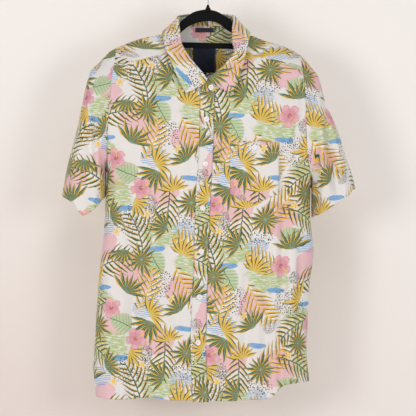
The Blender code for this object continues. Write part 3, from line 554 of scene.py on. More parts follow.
def lapped(seam):
    """w along a front seam of the yoke, which laps over the front, but not where it meets the collar."""
    x, z, _ = seam
    lap = SEAM_LAP * smoothstep(np.abs(x - x[0]) / 8)
    return -np.sqrt(ridge(x) - z + lap)


def yoke_grid():
    """The yoke: columns from the right armhole to the left one, rows from the front seams to the back one."""
    right, left = yoke_seam("right"), yoke_seam("left")
    x_round, _, w_round = neckline(np.linspace(*YOKE_REACH, ROUND_CELLS + 1)[1:-1])
    x_front = np.concatenate([right[0][::-1], x_round, left[0]])
    w_front = np.concatenate([lapped(right)[::-1], w_round, lapped(left)])
    x_back = back_seam()
    w_back = np.sqrt(ridge(x_back) - BACK_YOKE_SEAM + SEAM_LAP)
    v = np.linspace(0, 1, YOKE_CELLS + 1)[:, None]
    w = w_front + (w_back - w_front) * v
    x = x_back + (x_front - x_back) * (1 - v) ** 2
    for column, side in ((0, "right"), (-1, "left")):
        for _ in range(4):
            x[:, column] = side_x[side](ridge(x[:, column]) - w[:, column] ** 2)
    z = ridge(x) - w * w
    y = np.where(w < 0, depth(x, z, -1), depth(x, z, 1))
    return np.stack([x, y, z], axis=-1)


def collar_frames():
    """At stations round the collar: the neckline, roll line and leaf's edge, up the stand, and outwards."""
    t = np.linspace(0, 1, COLLAR_CELLS + 1)
    x, z, w = neckline(t)
    feet = np.stack([x, np.where(w < 0, depth(x, z, -1), depth(x, z, 1)), z], axis=1)
    at = neck(t)
    rolls, edges = at[:, [2, 4, 3]], at[:, [5, 7, 6]]
    up = rolls - feet
    up /= np.linalg.norm(up, axis=1, keepdims=True)
    outwards = np.cross(np.gradient(rolls, axis=0), up)
    outwards /= np.linalg.norm(outwards, axis=1, keepdims=True)
    outwards *= np.sign(((rolls - rolls.mean(axis=0)) * outwards).sum(axis=1, keepdims=True))
    return feet, rolls, edges, up, outwards


def stand_grid():
    """The collar's stand, from its foot on the neckline up to the fold, with its lapped ends."""
    feet, rolls, _, up, _ = collar_frames()
    share = np.linspace(0, 1, 5)[:-1, None]
    lines = []
    for k, line in ((0, feet), (2, rolls - up * 0.5)):
        first, last = (np.array((end[k], end[4], end[k + 1])) for end in (STAND_UNDERLAP, STAND_OVERLAP))
        lead, tail = first + (line[0] - first) * share, last + (line[-1] - last) * share
        lines.append(np.concatenate([lead, line, tail[::-1]]))
    feet, rolls = lines
    return feet + (rolls - feet) * np.linspace(0, 1, STAND_CELLS + 1)[:, None, None]


def leaf_grid():
    """The collar's leaf: over the fold at the top of the stand, then down and out to its edge."""
    _, rolls, edges, up, outwards = collar_frames()
    rows = []
    for angle in np.linspace(math.pi, 0, 9):
        rows.append(rolls + outwards * ROLL * (1 + math.cos(angle)) + up * (0.4 + ROLL * math.sin(angle)))
    start = rows[-1]
    bend = start - up * LEAF_SAG
    for t in np.linspace(0, 1, LEAF_CELLS + 1)[1:]:
        rows.append(start * (1 - t) ** 2 + bend * 2 * t * (1 - t) + edges * t * t)
    return np.array(rows)


def sleeve_grid(side):
    """A tube from the armhole's ring to the cuff, from the underarm by the front to the underarm again."""
    shape = SLEEVE[side]
    sign = -1 if side == "right" else 1
    half = SLEEVE_HALF
    columns = np.arange(2 * half + 1)
    top_of_seam = float(ridge(side_x[side](shape["outside"][0][1])))
    z = UNDERARM[side] + (top_of_seam - UNDERARM[side]) * quarter(np.linspace(0, 1, 200))
    x = side_x[side](z)
    armhole = []
    for face in (-1, 1):
        line = np.stack([x, depth(x, z, face), z], axis=1)[::-1]
        length = along(line)
        at = np.linspace(0, length[-1], half + 1)
        armhole.append(np.stack([np.interp(at, length, line[:, k]) for k in range(3)], axis=1))
    loop = np.concatenate([armhole[0], armhole[1][-2::-1]])
    outside, inside = stations(shape["outside"]), stations(shape["inside"])
    outer_line = outside(np.linspace(0, 1, 400))
    outer_length = along(outer_line) / along(outer_line)[-1]
    top, foot = loop[0, ::2], loop[half, ::2]
    chord = foot - top
    share0 = ((loop[:, ::2] - top) @ chord) / (chord @ chord)
    bow = loop[:, ::2] - (top + share0[:, None] * chord)
    theta = np.pi * columns / half
    before = columns <= half
    share1 = (1 - np.cos(theta)) / 2
    deep = np.abs(np.sin(theta)) ** 0.85
    depth1 = deep * np.where(before, -shape["depth"][0], shape["depth"][1])
    hang_before = np.interp(share1, *zip(*shape["hem"]))
    hang = np.where(before, hang_before, np.abs(np.sin(theta)) ** 1.5 * shape["hem_behind"])
    grid = []
    for t in rows_down(SLEEVE_ROWS, 260, 26.0, 10):
        mix = smoothstep(t / 0.6)
        out = np.array([np.interp(t, outer_length, outer_line[:, k]) for k in range(2)])
        inn = inside(t**1.4)
        part = share0 * (1 - mix) + share1 * mix
        xz = out + (inn - out) * part[:, None] + bow * (1 - mix)
        y = loop[:, 1] * (1 - mix) + depth1 * mix
        x, z = xz.T
        for face, where in ((-1, before), (1, ~before)):
            push = folds(x, z, face, SLEEVE_FOLDS + SLEEVE_CREASES) + ripples(x, z, face)
            y = np.where(where, y + face * push * np.abs(np.sin(theta)) * mix, y)
        grid.append(np.stack([x, y, z - hang * t**3], axis=1))
    grid = np.array(grid)
    inwards = [np.full_like(theta, -4.0 * sign), -1.4 * np.sign(grid[0, :, 1]) * deep, -1.2 * (1 - deep)]
    tuck = grid[0] + np.stack(inwards, axis=1)
    grid = np.concatenate([tuck[None], grid])
    return np.concatenate([grid[:, half::-1], grid[:, 2 * half - 1 : half - 1 : -1]], axis=1)


def on_front(x, z):
    """Points on the body's front at x, z."""
    return np.stack([x, depth(x, z, -1), z], axis=-1)


def placket_grid():
    """The strip down the wearer's left front, from the collar's stand to just under the hem."""
    z = np.linspace(PLACKET_TOP, PLACKET_FOOT, 186)[:, None]
    edges = placket_edges(z[:, 0])
    share = np.linspace(0, 1, 13)
    x = edges[:, :1] + (edges[:, 1:] - edges[:, :1]) * share
    return on_front(x, z + 0 * x)


def underlap_grid(rows):
    """The right front's own edge under the placket, at each of its rows' first points."""
    first = rows[:, 0]
    z = np.minimum(first[:, 2], PLACKET_TOP)[:, None]
    edges = placket_edges(z[:, 0])
    share = np.linspace(1, 0, 9)[:-1]
    x = edges[:, :1] + (edges[:, 1:] - UNDERLAP_MARGIN - edges[:, :1]) * share
    return on_front(x, z + 0 * x)


def pocket_grid():
    """The patch pocket: its mouth level, its sides straight and its foot pointed."""
    left, right, mouth, corner, point = POCKET
    across = np.linspace(-1, 1, 33)
    x = (left + right) / 2 + across * (right - left) / 2
    z_foot = point + (corner - point) * np.abs(across)
    t = rows_down(34, 130, 6.0, 4)[:, None]
    z = mouth + (z_foot - mouth) * t
    return on_front(x + 0 * z, z)


def label_grid(place):
    """A woven label against the inside of the back, which it follows."""
    middle, top, width, height = place
    across, down = np.linspace(-0.5, 0.5, LABEL_CELLS + 1), np.linspace(0, 1, LABEL_CELLS - 1)
    x, z = np.meshgrid(middle + width * across, top - height * down)
    return np.stack([x, depth(x, z, 1), z], axis=-1)


def normals_of(points, closed=False):
    """Unit normals of a grid: down its rows crossed with across its columns."""
    if closed:
        wide = np.concatenate([points[:, -2:-1], points, points[:, 1:2]], axis=1)
        across = np.gradient(wide, axis=1)[:, 1:-1]
    else:
        across = np.gradient(points, axis=1)
    down = np.gradient(points, axis=0)
    normal = np.cross(down, across)
    return normal / np.maximum(np.linalg.norm(normal, axis=2, keepdims=True), 1e-9)


def summed(steps, axis):
    """The sums of a grid's steps along one axis, from 0 at its first row or column."""
    sums = np.cumsum(steps, axis=axis)
    return np.concatenate([np.zeros_like(sums.take([0], axis)), sums], axis=axis)


def edge_distances(points):
    """Distance of each point of a grid from its first and last row and its first and last column."""
    down, across = (summed(np.linalg.norm(np.diff(points, axis=axis), axis=2), axis) for axis in (0, 1))
    return {"top": down, "foot": down[-1:] - down, "first": across, "last": across[:, -1:] - across}


def spine_flat(points, row=0, column=0):
    """A grid's cut laid flat on both sides of one row: along that row from a column, and square to it."""
    spine = points[row]
    forward = np.gradient(spine, axis=0)
    forward /= np.linalg.norm(forward, axis=1, keepdims=True)
    steps = np.diff(points, axis=0)
    along_spine = (steps * forward).sum(axis=2)
    square = np.linalg.norm(steps - along_spine[..., None] * forward, axis=2)
    u, v = summed(along_spine, 0), summed(square, 0)
    length = along(spine)
    return np.stack([length - length[column] + u - u[row : row + 1], v[row : row + 1] - v], axis=-1)


def sleeve_flat(points, side):
    """A sleeve's cut laid flat, its outer fold in the middle and the underarm at both ends."""
    lines = [np.array(SLEEVE[side][name], float)[[0, -1]] for name in ("outside", "inside")]
    lean = sum((line[1] - line[0]) / np.linalg.norm(line[1] - line[0]) for line in lines)
    lean /= np.linalg.norm(lean)
    axis = np.array((lean[0], 0.0, lean[1]))
    across = np.array((lean[1], 0.0, -lean[0])) * (1 if side == "right" else -1)
    v, u = points @ axis, points @ across
    across_step = np.abs(np.diff(u, axis=1))
    more = np.hypot(across_step, np.diff(points[..., 1], axis=1)) - across_step
    more = summed(more, 1)
    more -= more[:, SLEEVE_HALF, None]
    fold_v, fold_u = v[:, SLEEVE_HALF], u[:, SLEEVE_HALF]
    order = np.argsort(fold_v)
    u_fold = np.interp(v, fold_v[order], fold_u[order])
    behind = np.arange(points.shape[1]) > SLEEVE_HALF
    towards_fold = np.sign(fold_u[-1] - u[-1, 0])
    return np.stack([np.where(behind, 2 * u_fold - u, u) + towards_fold * more, -v], axis=-1)


def arc_flat(points, column=0, row=0):
    """A grid's cut laid flat: the lengths along its rows from a column and up its columns from a row."""
    distances = edge_distances(points)
    across, down = distances["first"], distances["top"]
    return np.stack([across - across[:, column : column + 1], down[row : row + 1] - down], axis=-1)


sewing = []  # lines of sewing: points and normals in millimetres, and the stitches' pitch and length


def sew(points, normals, edges, distance, proud, trim=0.0, stitch=STITCH, keep=None):
    """Sews at a distance inside edges of a grid; keep tells from a line's points which are sewn."""
    for edge in edges:
        line, out = inside_line(points, normals, edge, distance, trim)
        if keep:
            line, out = line[keep(line)], out[keep(line)]
        sewing.append((line + out * proud, out, *stitch))


def inside_line(points, normals, edge, distance, trim):
    """The line at a distance inside one edge of a grid, with its normals, cut short at both ends by trim."""
    distances = edge_distances(points)[edge]
    if edge in ("first", "last"):
        points, normals, distances = points.transpose(1, 0, 2), normals.transpose(1, 0, 2), distances.T
    if edge in ("foot", "last"):
        points, normals, distances = points[::-1], normals[::-1], distances[::-1]
    line, out = [], []
    for c in range(points.shape[1]):
        if distances[-1, c] < distance:
            continue
        line.append([np.interp(distance, distances[:, c], points[:, c, k]) for k in range(3)])
        out.append([np.interp(distance, distances[:, c], normals[:, c, k]) for k in range(3)])
    line, out = np.array(line), np.array(out)
    length = along(line)
    keep = (length >= trim) & (length <= length[-1] - trim)
    return line[keep], out[keep]


def pucker(along_edge, distance, stitch):
    """The small waves that sewing draws up beside a line of stitches."""
    waves = np.sin(along_edge * 0.52 + 2.0 * np.sin(along_edge * 0.063))
    waves = waves + 0.6 * np.sin(along_edge * 0.91 + 1.0)
    return 0.22 * waves * np.exp(-(((distance - stitch) / 6) ** 2))


def hem_relief(distance, width, along_edge, height=0.45):
    """A turned-up hem: a thicker band with a soft step and puckers at its stitches."""
    step = height * smoothstep((width + STITCH_OFF - distance) / 3)
    return step + pucker(along_edge, distance, width - STITCH_OFF)


def cloth_mesh(points, outward_normals, cut, tube):
    """A bmesh grid moved onto points, facing outwards, with its cut laid out flat in the UV map."""
    rows, columns = points.shape[:2]
    mesh = bmesh.new()
    bmesh.ops.create_grid(mesh, x_segments=columns - 1, y_segments=rows - 1, size=0.5)
    mesh.verts.ensure_lookup_table()
    layer = mesh.loops.layers.uv.new("Cut")
    for face in mesh.faces:
        for loop in face.loops:
            row, column = divmod(loop.vert.index, columns)
            loop[layer].uv = cut[row, column]
    for vert in mesh.verts:
        row, column = divmod(vert.index, columns)
        vert.co = Vector(points[row, column]) * MM
    mesh.normal_update()
    agree = 0.0
    for vert in list(mesh.verts)[::7]:
        agree += vert.normal.dot(Vector(outward_normals[divmod(vert.index, columns)]))
    if tube:
        bmesh.ops.remove_doubles(mesh, verts=mesh.verts, dist=1e-6)
    if agree < 0:
        bmesh.ops.reverse_faces(mesh, faces=mesh.faces)
    return mesh


def cloth_piece(name, points, outward, flat, place, materials, wall, relief, tube=False):
    """Makes one piece of cloth and returns it with its final surface and its outward normals.

    flat is the cut in millimetres, place its turn in degrees and shift in millimetres on the print, materials
    the names of its right and wrong side, and relief how far each point is moved outwards.
    """
    points = points + normals_of(points, tube) * outward * relief[..., None]
    normals = normals_of(points, tube) * outward
    if tube:
        points[:, -1] = points[:, 0]
    turn, shift_x, shift_y = place
    cos, sin = math.cos(math.radians(turn)), math.sin(math.radians(turn))
    u = flat[..., 0] * cos - flat[..., 1] * sin + shift_x
    v = flat[..., 0] * sin + flat[..., 1] * cos + shift_y
    mesh = cloth_mesh(points, normals, np.stack([u, v], axis=-1) * MM, tube)
    piece = new_piece(name, mesh, materials)
    thick = piece.modifiers.new("Wall", "SOLIDIFY")
    thick.thickness = wall
    thick.offset = 0
    thick.use_quality_normals = True
    thick.material_offset = len(materials) - 1
    return piece, points, normals


def linked(name, data, materials=()):
    """Links mesh or curve data as an object, with its materials by name."""
    for entry in materials:
        data.materials.append(material(entry))
    piece = bpy.data.objects.new(name, data)
    bpy.context.scene.collection.objects.link(piece)
    return piece


def mesh_data(name, mesh):
    """A bmesh made a mesh, and freed."""
    data = bpy.data.meshes.new(name)
    mesh.to_mesh(data)
    mesh.free()
    return data


def new_piece(name, mesh, materials):
    """Links a bmesh as one smooth object that rides on the part's body."""
    data = mesh_data(name, mesh)
    data.shade_smooth()
    piece = linked(name, data, materials)
    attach(piece, "root")
    return piece


def stands_for(piece, node, slot, flat=None, area=None, rests_on="hanger_flocked", with_pieces=()):
    """Hides the CAD node that a piece replaces; its material slot and, for cloth, its cut in metres are not
    used.
    """
    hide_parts(node)


PRINT_SIDES = ("Print cloth", "Print wrong side")
FRONTS = {  # its place on the print; its cut's width and length and its area, in metres
    "right": ((0, 38, 96), (0.262, 0.735), 0.176),
    "left": ((0, 205, 131), (0.232, 0.735), 0.152),
}
SLEEVES = {"right": (0, 40, 262), "left": (0, 190, 180)}  # their places on the print


def make_front(side):
    """One front, with its hem, its armhole's felled seam and, on the right, the edge under the placket."""
    sizes = bpy.context.scene.shirt_sizes
    place, *cut = FRONTS[side]
    points, flat = panel(side, front_top(side), 0.36)
    if side == "right":
        under = underlap_grid(points)
        across = flat[:, :1, 0] + np.linalg.norm(under - points[:, :1], axis=2)
        flat = np.concatenate([np.stack([across, under[..., 2]], axis=-1), flat], axis=1)
        points = np.concatenate([under, points], axis=1)
    distance = edge_distances(points)
    lower = smoothstep((UNDERARM[side] + 20 - points[..., 2]) / 40)
    felled = SEAM_RISE * smoothstep((SEAM_STITCH + 2 - distance["last"]) / 2.5) * (1 - 0.6 * lower)
    relief = hem_relief(distance["foot"], sizes.hem / MM, distance["first"]) + felled
    outward = -1 if side == "right" else 1
    piece, points, normals = cloth_piece(
        f"front_{side}_cloth", points, outward, flat, place, PRINT_SIDES, sizes.cloth, relief
    )
    sew(points, normals, ["foot"], sizes.hem / MM - STITCH_OFF, 0.35, 2)
    sew(points, normals, ["last"], SEAM_STITCH, 0.35, keep=lambda line: line[:, 2] > UNDERARM[side] + 6)
    stands_for(piece, "front_" + side, "print_cloth", *cut)


def make_back():
    """The back below the yoke, with its hem."""
    sizes = bpy.context.scene.shirt_sizes
    points, flat = panel("back", back_top(), 0.5)
    distance = edge_distances(points)
    relief = hem_relief(distance["foot"], sizes.hem / MM, distance["first"])
    piece, points, normals = cloth_piece(
        "back_cloth", points, -1, flat * (-1, 1), (0, 112, 20), PRINT_SIDES, sizes.cloth, relief
    )
    sew(points, normals, ["foot"], sizes.hem / MM - STITCH_OFF, 0.35, 2)
    stands_for(piece, "back", "print_cloth", (0.50, 0.66), 0.315)


def make_yoke():
    """The yoke, with its edges turned over the fronts, the back and the sleeves."""
    sizes = bpy.context.scene.shirt_sizes
    points = yoke_grid()
    distance = edge_distances(points)
    nearest = np.minimum(distance["top"], distance["foot"])
    sides = np.minimum(distance["first"], distance["last"])
    relief = YOKE_RISE * smoothstep((9 - nearest) / 3)
    relief += SEAM_RISE * smoothstep((SEAM_STITCH + 2 - sides) / 2.5)
    ridge_row = int(np.argmax(points[:, 50, 2]))
    flat = arc_flat(points, points.shape[1] // 2, ridge_row)
    piece, points, normals = cloth_piece(
        "yoke_cloth", points, -1, flat, (180, 140, 20), ("Print cloth", "Print cloth"), sizes.cloth, relief
    )
    right_end, left_end = (float(neckline(reach)[0]) for reach in YOKE_REACH)
    sew(points, normals, ["foot"], 2.0, 0.35)
    sew(points, normals, ["top"], 2.0, 0.35, keep=lambda line: line[:, 0] < right_end - 2)
    sew(points, normals, ["top"], 2.0, 0.35, keep=lambda line: line[:, 0] > left_end + 2)
    sew(points, normals, ["first", "last"], SEAM_STITCH, 0.35)
    stands_for(piece, "yoke", "print_cloth", (0.46, 0.20), 0.055)


def make_placket():
    """The placket, thicker than one layer, pulled in at its buttons and full between them."""
    sizes = bpy.context.scene.shirt_sizes
    points = placket_grid()
    distance = edge_distances(points)
    side = np.minimum(distance["first"], distance["last"])
    relief = 1.35 - 0.4 * smoothstep((1.2 - side) / 1.2) + pucker(points[..., 2], side, 3.0) * 0.8
    for z in PLACKET_BUTTONS:
        relief -= 0.45 * np.exp(-(((points[..., 2] - z) / 9) ** 2))
        relief += 0.35 * np.exp(-(((points[..., 2] - z - 26) / 14) ** 2))
    piece, points, normals = cloth_piece(
        "placket_cloth", points, 1, arc_flat(points), (0, 96, -18), PRINT_SIDES,
        sizes.cloth * PLACKET_LAYERS, relief,
    )
    sew(points, normals, ["first", "last"], 4.0, 0.55)
    stands_for(piece, "placket", "print_cloth", (0.034, 0.645))


def make_pocket():
    """The patch pocket, with its hemmed mouth standing a little off the front."""
    sizes = bpy.context.scene.shirt_sizes
    points = pocket_grid()
    distance = edge_distances(points)
    side = np.minimum(np.minimum(distance["first"], distance["last"]), distance["foot"])
    across = np.clip((points[..., 0] - POCKET[0]) / (POCKET[1] - POCKET[0]), 0, 1)
    relief = 1.15 + 0.35 * smoothstep((CUFF_HEM - distance["top"]) / 2) - 0.3 * smoothstep((2 - side) / 2)
    relief += pucker(points[..., 2] + points[..., 0], side, 1.5) * 0.7
    relief += 0.9 * np.exp(-((distance["top"] / 12) ** 2)) * np.sin(across * np.pi)
    piece, points, normals = cloth_piece(
        "pocket_cloth", points, 1, points[..., ::2], (0, 168, 96), PRINT_SIDES, sizes.cloth, relief
    )
    sew(points, normals, ["first", "last", "foot"], 1.6, 0.4)
    sew(points, normals, ["top"], CUFF_HEM - STITCH_OFF, 0.4, 3)
    stands_for(piece, "pocket", "print_cloth", (0.104, 0.131), 0.0118)


def make_sleeve(side):
    """One sleeve, a tube with a hemmed cuff, tucked under the armhole's seam."""
    sizes = bpy.context.scene.shirt_sizes
    points = sleeve_grid(side)
    distance = edge_distances(points)
    relief = hem_relief(distance["foot"], CUFF_HEM, distance["first"], 0.5)
    relief -= 0.3 * smoothstep((3 - distance["top"]) / 3)
    outward = -1 if side == "right" else 1
    flat = sleeve_flat(points, side)
    piece, points, normals = cloth_piece(
        f"sleeve_{side}_cloth", points, outward, flat, SLEEVES[side], PRINT_SIDES, sizes.cloth, relief,
        tube=True,
    )
    sew(points, normals, ["foot"], CUFF_HEM - STITCH_OFF, 0.4)
    stands_for(piece, "sleeve_" + side, "print_cloth", (0.40, 0.27), 0.070)


def make_stand():
    """The collar's stand."""
    sizes = bpy.context.scene.shirt_sizes
    points = stand_grid()
    flat = spine_flat(points, 0, points.shape[1] // 2)
    piece, points, normals = cloth_piece(
        "collar_stand_cloth", points, outward_sign(points), flat, (0, 30, 44), ("Print cloth", "Print cloth"),
        sizes.collar, np.zeros(points.shape[:2]),
    )
    sew(points, normals, ["top"], 2.5, 0.75)
    stands_for(piece, "collar_stand", "print_cloth", (0.47, 0.036), 0.0125)


def make_leaf():
    """The collar's leaf, drawn in along the stitches round its edge."""
    sizes = bpy.context.scene.shirt_sizes
    points = leaf_grid()
    distance = edge_distances(points)
    edge = np.minimum(distance["foot"], np.minimum(distance["first"], distance["last"]))
    edge = np.where(distance["top"] < 12, 30, edge)  # none where it turns over the stand
    relief = -0.35 * np.exp(-(((edge - LEAF_STITCH) / 1.2) ** 2)) + 0.341 * pucker(distance["first"], edge, 6)
    flat = spine_flat(points, FOLD_ROW, points.shape[1] // 2)
    piece, points, normals = cloth_piece(
        "collar_cloth", points, outward_sign(points), flat, (180, 140, 60), ("Print cloth", "Print cloth"),
        sizes.collar, relief,
    )
    sew(points, normals, ["foot", "first", "last"], LEAF_STITCH, 0.7, 5)
    stands_for(piece, "collar", "print_cloth", (0.46, 0.078), 0.026)


def outward_sign(points):
    """1 if a grid round the neck has its normals pointing away from the neck's middle, else -1."""
    away = points - points.reshape(-1, 3).mean(axis=0)
    away[..., 2] = 0
    return 1 if (normals_of(points) * away).sum() > 0 else -1


def make_sewing():
    """Every stitch as a small rounded dash of thread, in one mesh."""
    thread = bpy.context.scene.shirt_sizes.thread
    mesh = bmesh.new()
    for points, normals, pitch, dash in sewing:
        length = along(points)
        if length[-1] < pitch:
            continue
        at = np.arange(pitch / 2, length[-1], pitch)
        laid = []
        for line, shift in ((points, 0), (points, 0.5), (points, -0.5), (normals, 0)):
            laid.append(np.stack([np.interp(at + shift, length, line[:, k]) for k in range(3)], axis=1))
        for middle, ahead, behind, out in zip(*laid):
            lay_stitch(mesh, Vector(middle), Vector(ahead - behind), Vector(out), dash, thread)
    new_piece("stitching", mesh, ["Sewing thread"])


def lay_stitch(mesh, middle, run, out, dash, thread):
    """One stitch of thread at middle, along run, lying on cloth that faces out."""
    run.normalize()
    side = run.cross(out).normalized()
    turn = Matrix((run, side, side.cross(run))).transposed().to_4x4()
    size = Matrix.Diagonal((dash / 2 * MM, thread / 2, thread / 2 * 0.7, 1))
    place = Matrix.Translation(middle * MM) @ turn @ size
    bmesh.ops.create_icosphere(mesh, subdivisions=1, radius=1, matrix=place)


def turned(profile, steps):
    """A closed mesh turned about +Z from a profile of radius and height, in millimetres."""
    mesh = bmesh.new()
    verts = [mesh.verts.new((x * MM, 0, z * MM)) for x, z in profile]
    edges = [mesh.edges.new(pair) for pair in zip(verts, verts[1:])]
    bmesh.ops.spin(
        mesh, geom=verts + edges, cent=(0, 0, 0), axis=(0, 0, 1), angle=2 * math.pi, steps=steps,
        use_merge=True, use_duplicate=False,
    )
    bmesh.ops.remove_doubles(mesh, verts=mesh.verts, dist=1e-6)
    bmesh.ops.recalc_face_normals(mesh, faces=mesh.faces)
    return mesh


def button_frame(x, z, proud):
    """A matrix that lays a button made about the origin, facing +Z, onto the front at x, z."""
    step = 4.0
    slope_x = float(depth(x + step, z, -1) - depth(x - step, z, -1)) / (2 * step)
    slope_z = float(depth(x, z + step, -1) - depth(x, z - step, -1)) / (2 * step)
    out = Vector((slope_x, -1.0, slope_z)).normalized()
    right = Vector((0, 0, 1)).cross(out).normalized()
    turn = Matrix((right, out.cross(right), out)).transposed().to_4x4()
    return Matrix.Translation((Vector((x, float(depth(x, z, -1)), z)) + out * proud) * MM) @ turn


def button_mesh():
    """A four-hole button, turned from its profile, with the holes drilled through."""
    mesh = turned([(BUTTON_RADIUS - inside, height) for inside, height in BUTTON_PROFILE], 40)
    disc = linked("disc", mesh_data("button disc", mesh))
    mesh = bmesh.new()
    for x in (-HOLE_APART / 2, HOLE_APART / 2):
        for y in (-HOLE_APART / 2, HOLE_APART / 2):
            bmesh.ops.create_cone(
                mesh, cap_ends=True, segments=14, radius1=HOLE_RADIUS * MM, radius2=HOLE_RADIUS * MM,
                depth=8 * MM, matrix=Matrix.Translation((x * MM, y * MM, 0)),
            )
    drill = linked("drill", mesh_data("button drill", mesh))
    cut = disc.modifiers.new("Holes", "BOOLEAN")
    cut.operation = "DIFFERENCE"
    cut.object = drill
    done = bpy.data.meshes.new_from_object(disc.evaluated_get(bpy.context.evaluated_depsgraph_get()))
    for thing in (disc, drill):
        bpy.data.objects.remove(thing)
    return done


def make_buttons():
    """Eight four-hole buttons, each sewn on with two bars of thread, over buttonholes."""
    pattern = button_mesh()
    places = [
        (f"button_{number}", float(placket_edges(z).mean()), z, BUTTON_PROUD["placket"])
        for number, z in enumerate(PLACKET_BUTTONS, 1)
    ]
    places.append(("button_stand", *STAND_BUTTON, BUTTON_PROUD["stand"]))
    places.append(("button_pocket", (POCKET[0] + POCKET[1]) / 2, POCKET_BUTTON, BUTTON_PROUD["pocket"]))
    for number, (node, x, z, proud) in enumerate(places):
        lay = button_frame(x, z, proud)
        turn = Matrix.Rotation(math.radians(7 * number % 23 - 11), 4, "Z")  # no two sewn on at one angle
        mesh = bmesh.new()
        mesh.from_mesh(pattern)
        bmesh.ops.transform(mesh, matrix=lay @ turn, verts=mesh.verts)
        piece = new_piece(node + "_turned", mesh, ["Button"])
        piece.data.set_sharp_from_angle(angle=math.radians(50))
        stands_for(piece, node, "button")
        sew_button(lay, holed=node != "button_stand")


def sew_button(lay, holed):
    """Two bars of thread through a button's holes and, round its slit, a buttonhole's stitches."""
    turn = lay.to_3x3()
    right, up, out = (np.array(turn.col[k]) for k in range(3))
    foot = np.array(lay.translation) / MM

    def bar(x, y, proud, along_bar, half, pitch, dash):
        middle = foot + right * x + up * y + out * proud
        ends = np.array([middle - along_bar * half, middle + along_bar * half])
        sewing.append((ends, np.array([out, out]), pitch, dash))

    for y in (-HOLE_APART / 2, HOLE_APART / 2):
        for shift in (-0.22, 0.22):
            bar(0, y + shift, 1.75, right, 1.35, 2.7, 3.1)
    if not holed:
        return
    half_length, half_width, pitch = BUTTONHOLE
    for side in (-half_width, half_width):
        for y in np.arange(0.6 - half_length, half_length - 0.5, pitch):
            bar(side, y, -0.35, right, 1.0, 2.0, 2.0)
    for end in (-half_length, half_length):
        for x in (-1.2, -0.4, 0.4, 1.2):
            bar(x, end, -0.3, up, 0.8, 1.6, 1.8)


def make_labels():
    """The woven labels inside the neck, all blank, the two larger ones stitched down at their ends."""
    made = {}
    for node, (place, lift, stitched) in LABELS.items():
        points = label_grid(place)
        distance = edge_distances(points)
        nearest = np.minimum(distance["first"], distance["last"])
        relief = lift - 0.5 * smoothstep((1.5 - nearest) / 1.5)
        relief += 0.5 * np.sin(points[..., 2] * 0.11) * np.sin(points[..., 0] * 0.13)
        made[node], points, normals = cloth_piece(
            node + "_woven", points, 1, arc_flat(points), (0, 0, 0), ("Label", "Label"), LABEL_CLOTH, relief
        )
        sew(points, normals, stitched, 1.4, 0.4, stitch=LABEL_STITCH)
    tab = made["size_tab"]
    stands_for(tab, "size_tab", "label_cloth")
    stands_for(made["label"], "label", "label_cloth", (0.048, 0.058), None, "yoke_cloth", (tab,))
    stands_for(made["label_small"], "label_small", "label_cloth", (0.041, 0.0105), None, "yoke_cloth")


def rounded(thick, half):
    """Offsets round a bar's section with soft corners: depth and height."""
    a = np.linspace(0, 2 * math.pi, BAR_ROUND + 1)
    round_y, round_h = (np.sign(part) * np.abs(part) ** (2 / BAR_POWER) for part in (np.cos(a), np.sin(a)))
    return round_y * thick / 2, round_h * half


def bar_mesh(mesh, outer, inner, thick):
    """Adds a rounded bar between an outer and an inner line of x, z points, closed by round ends."""
    middle, half = (outer + inner) / 2, (outer - inner) / 2
    size = np.linalg.norm(half, axis=1)
    up = half / size[:, None]
    run = np.gradient(middle, axis=0)
    run /= np.linalg.norm(run, axis=1, keepdims=True)
    ends = [(1.0, 0.0), (0.97, 0.5), (0.85, 1.3), (0.6, 2.0), (0.3, 2.4), (0.02, 2.5)]
    rings = [(middle[0] - run[0] * (p - 2.5), up[0], size[0], s) for s, p in ends[::-1]]
    rings += [(m, u, h, 1.0) for m, u, h in zip(middle[2:-2], up[2:-2], size[2:-2])]
    rings += [(middle[-1] + run[-1] * (p - 2.5), up[-1], size[-1], s) for s, p in ends]
    columns = BAR_ROUND + 1
    made = bmesh.ops.create_grid(mesh, x_segments=columns - 1, y_segments=len(rings) - 1, size=0.5)["verts"]
    for index, vert in enumerate(made):
        row, column = divmod(index, columns)
        centre, direction, height, share = rings[row]
        y, h = rounded(thick, height)
        x, z = centre + direction * h[column] * share
        vert.co = (x * MM, y[column] * share * MM, z * MM)


def make_hanger():
    """The flocked hanger: its arched arms, its straight bar and the round neck that holds the hook."""
    mesh = bmesh.new()
    smooth = stations(HANGER)(np.linspace(0, 1, 150))
    bar_mesh(mesh, smooth[:, :2], smooth[:, 2:], HANGER_THICK)
    x0, z0, x1, z1, height = BAR
    upper = np.linspace((x0, z0), (x1, z1), 40)
    bar_mesh(mesh, upper, upper - (0, height), BAR_THICK)
    bmesh.ops.remove_doubles(mesh, verts=mesh.verts, dist=1e-6)
    height, radius = KNOB[-1]
    steps = ((-2, 5.6), *KNOB, (height + 0.5, radius - 0.7), (height + 0.5, 0))
    profile = [(r, KNOB_FOOT + h) for h, r in steps]
    shape = mesh_data("knob", turned(profile, 32))
    mesh.from_mesh(shape)
    bmesh.ops.recalc_face_normals(mesh, faces=mesh.faces)
    stands_for(new_piece("hanger_flocked", mesh, ["Flock"]), "hanger", "hanger")


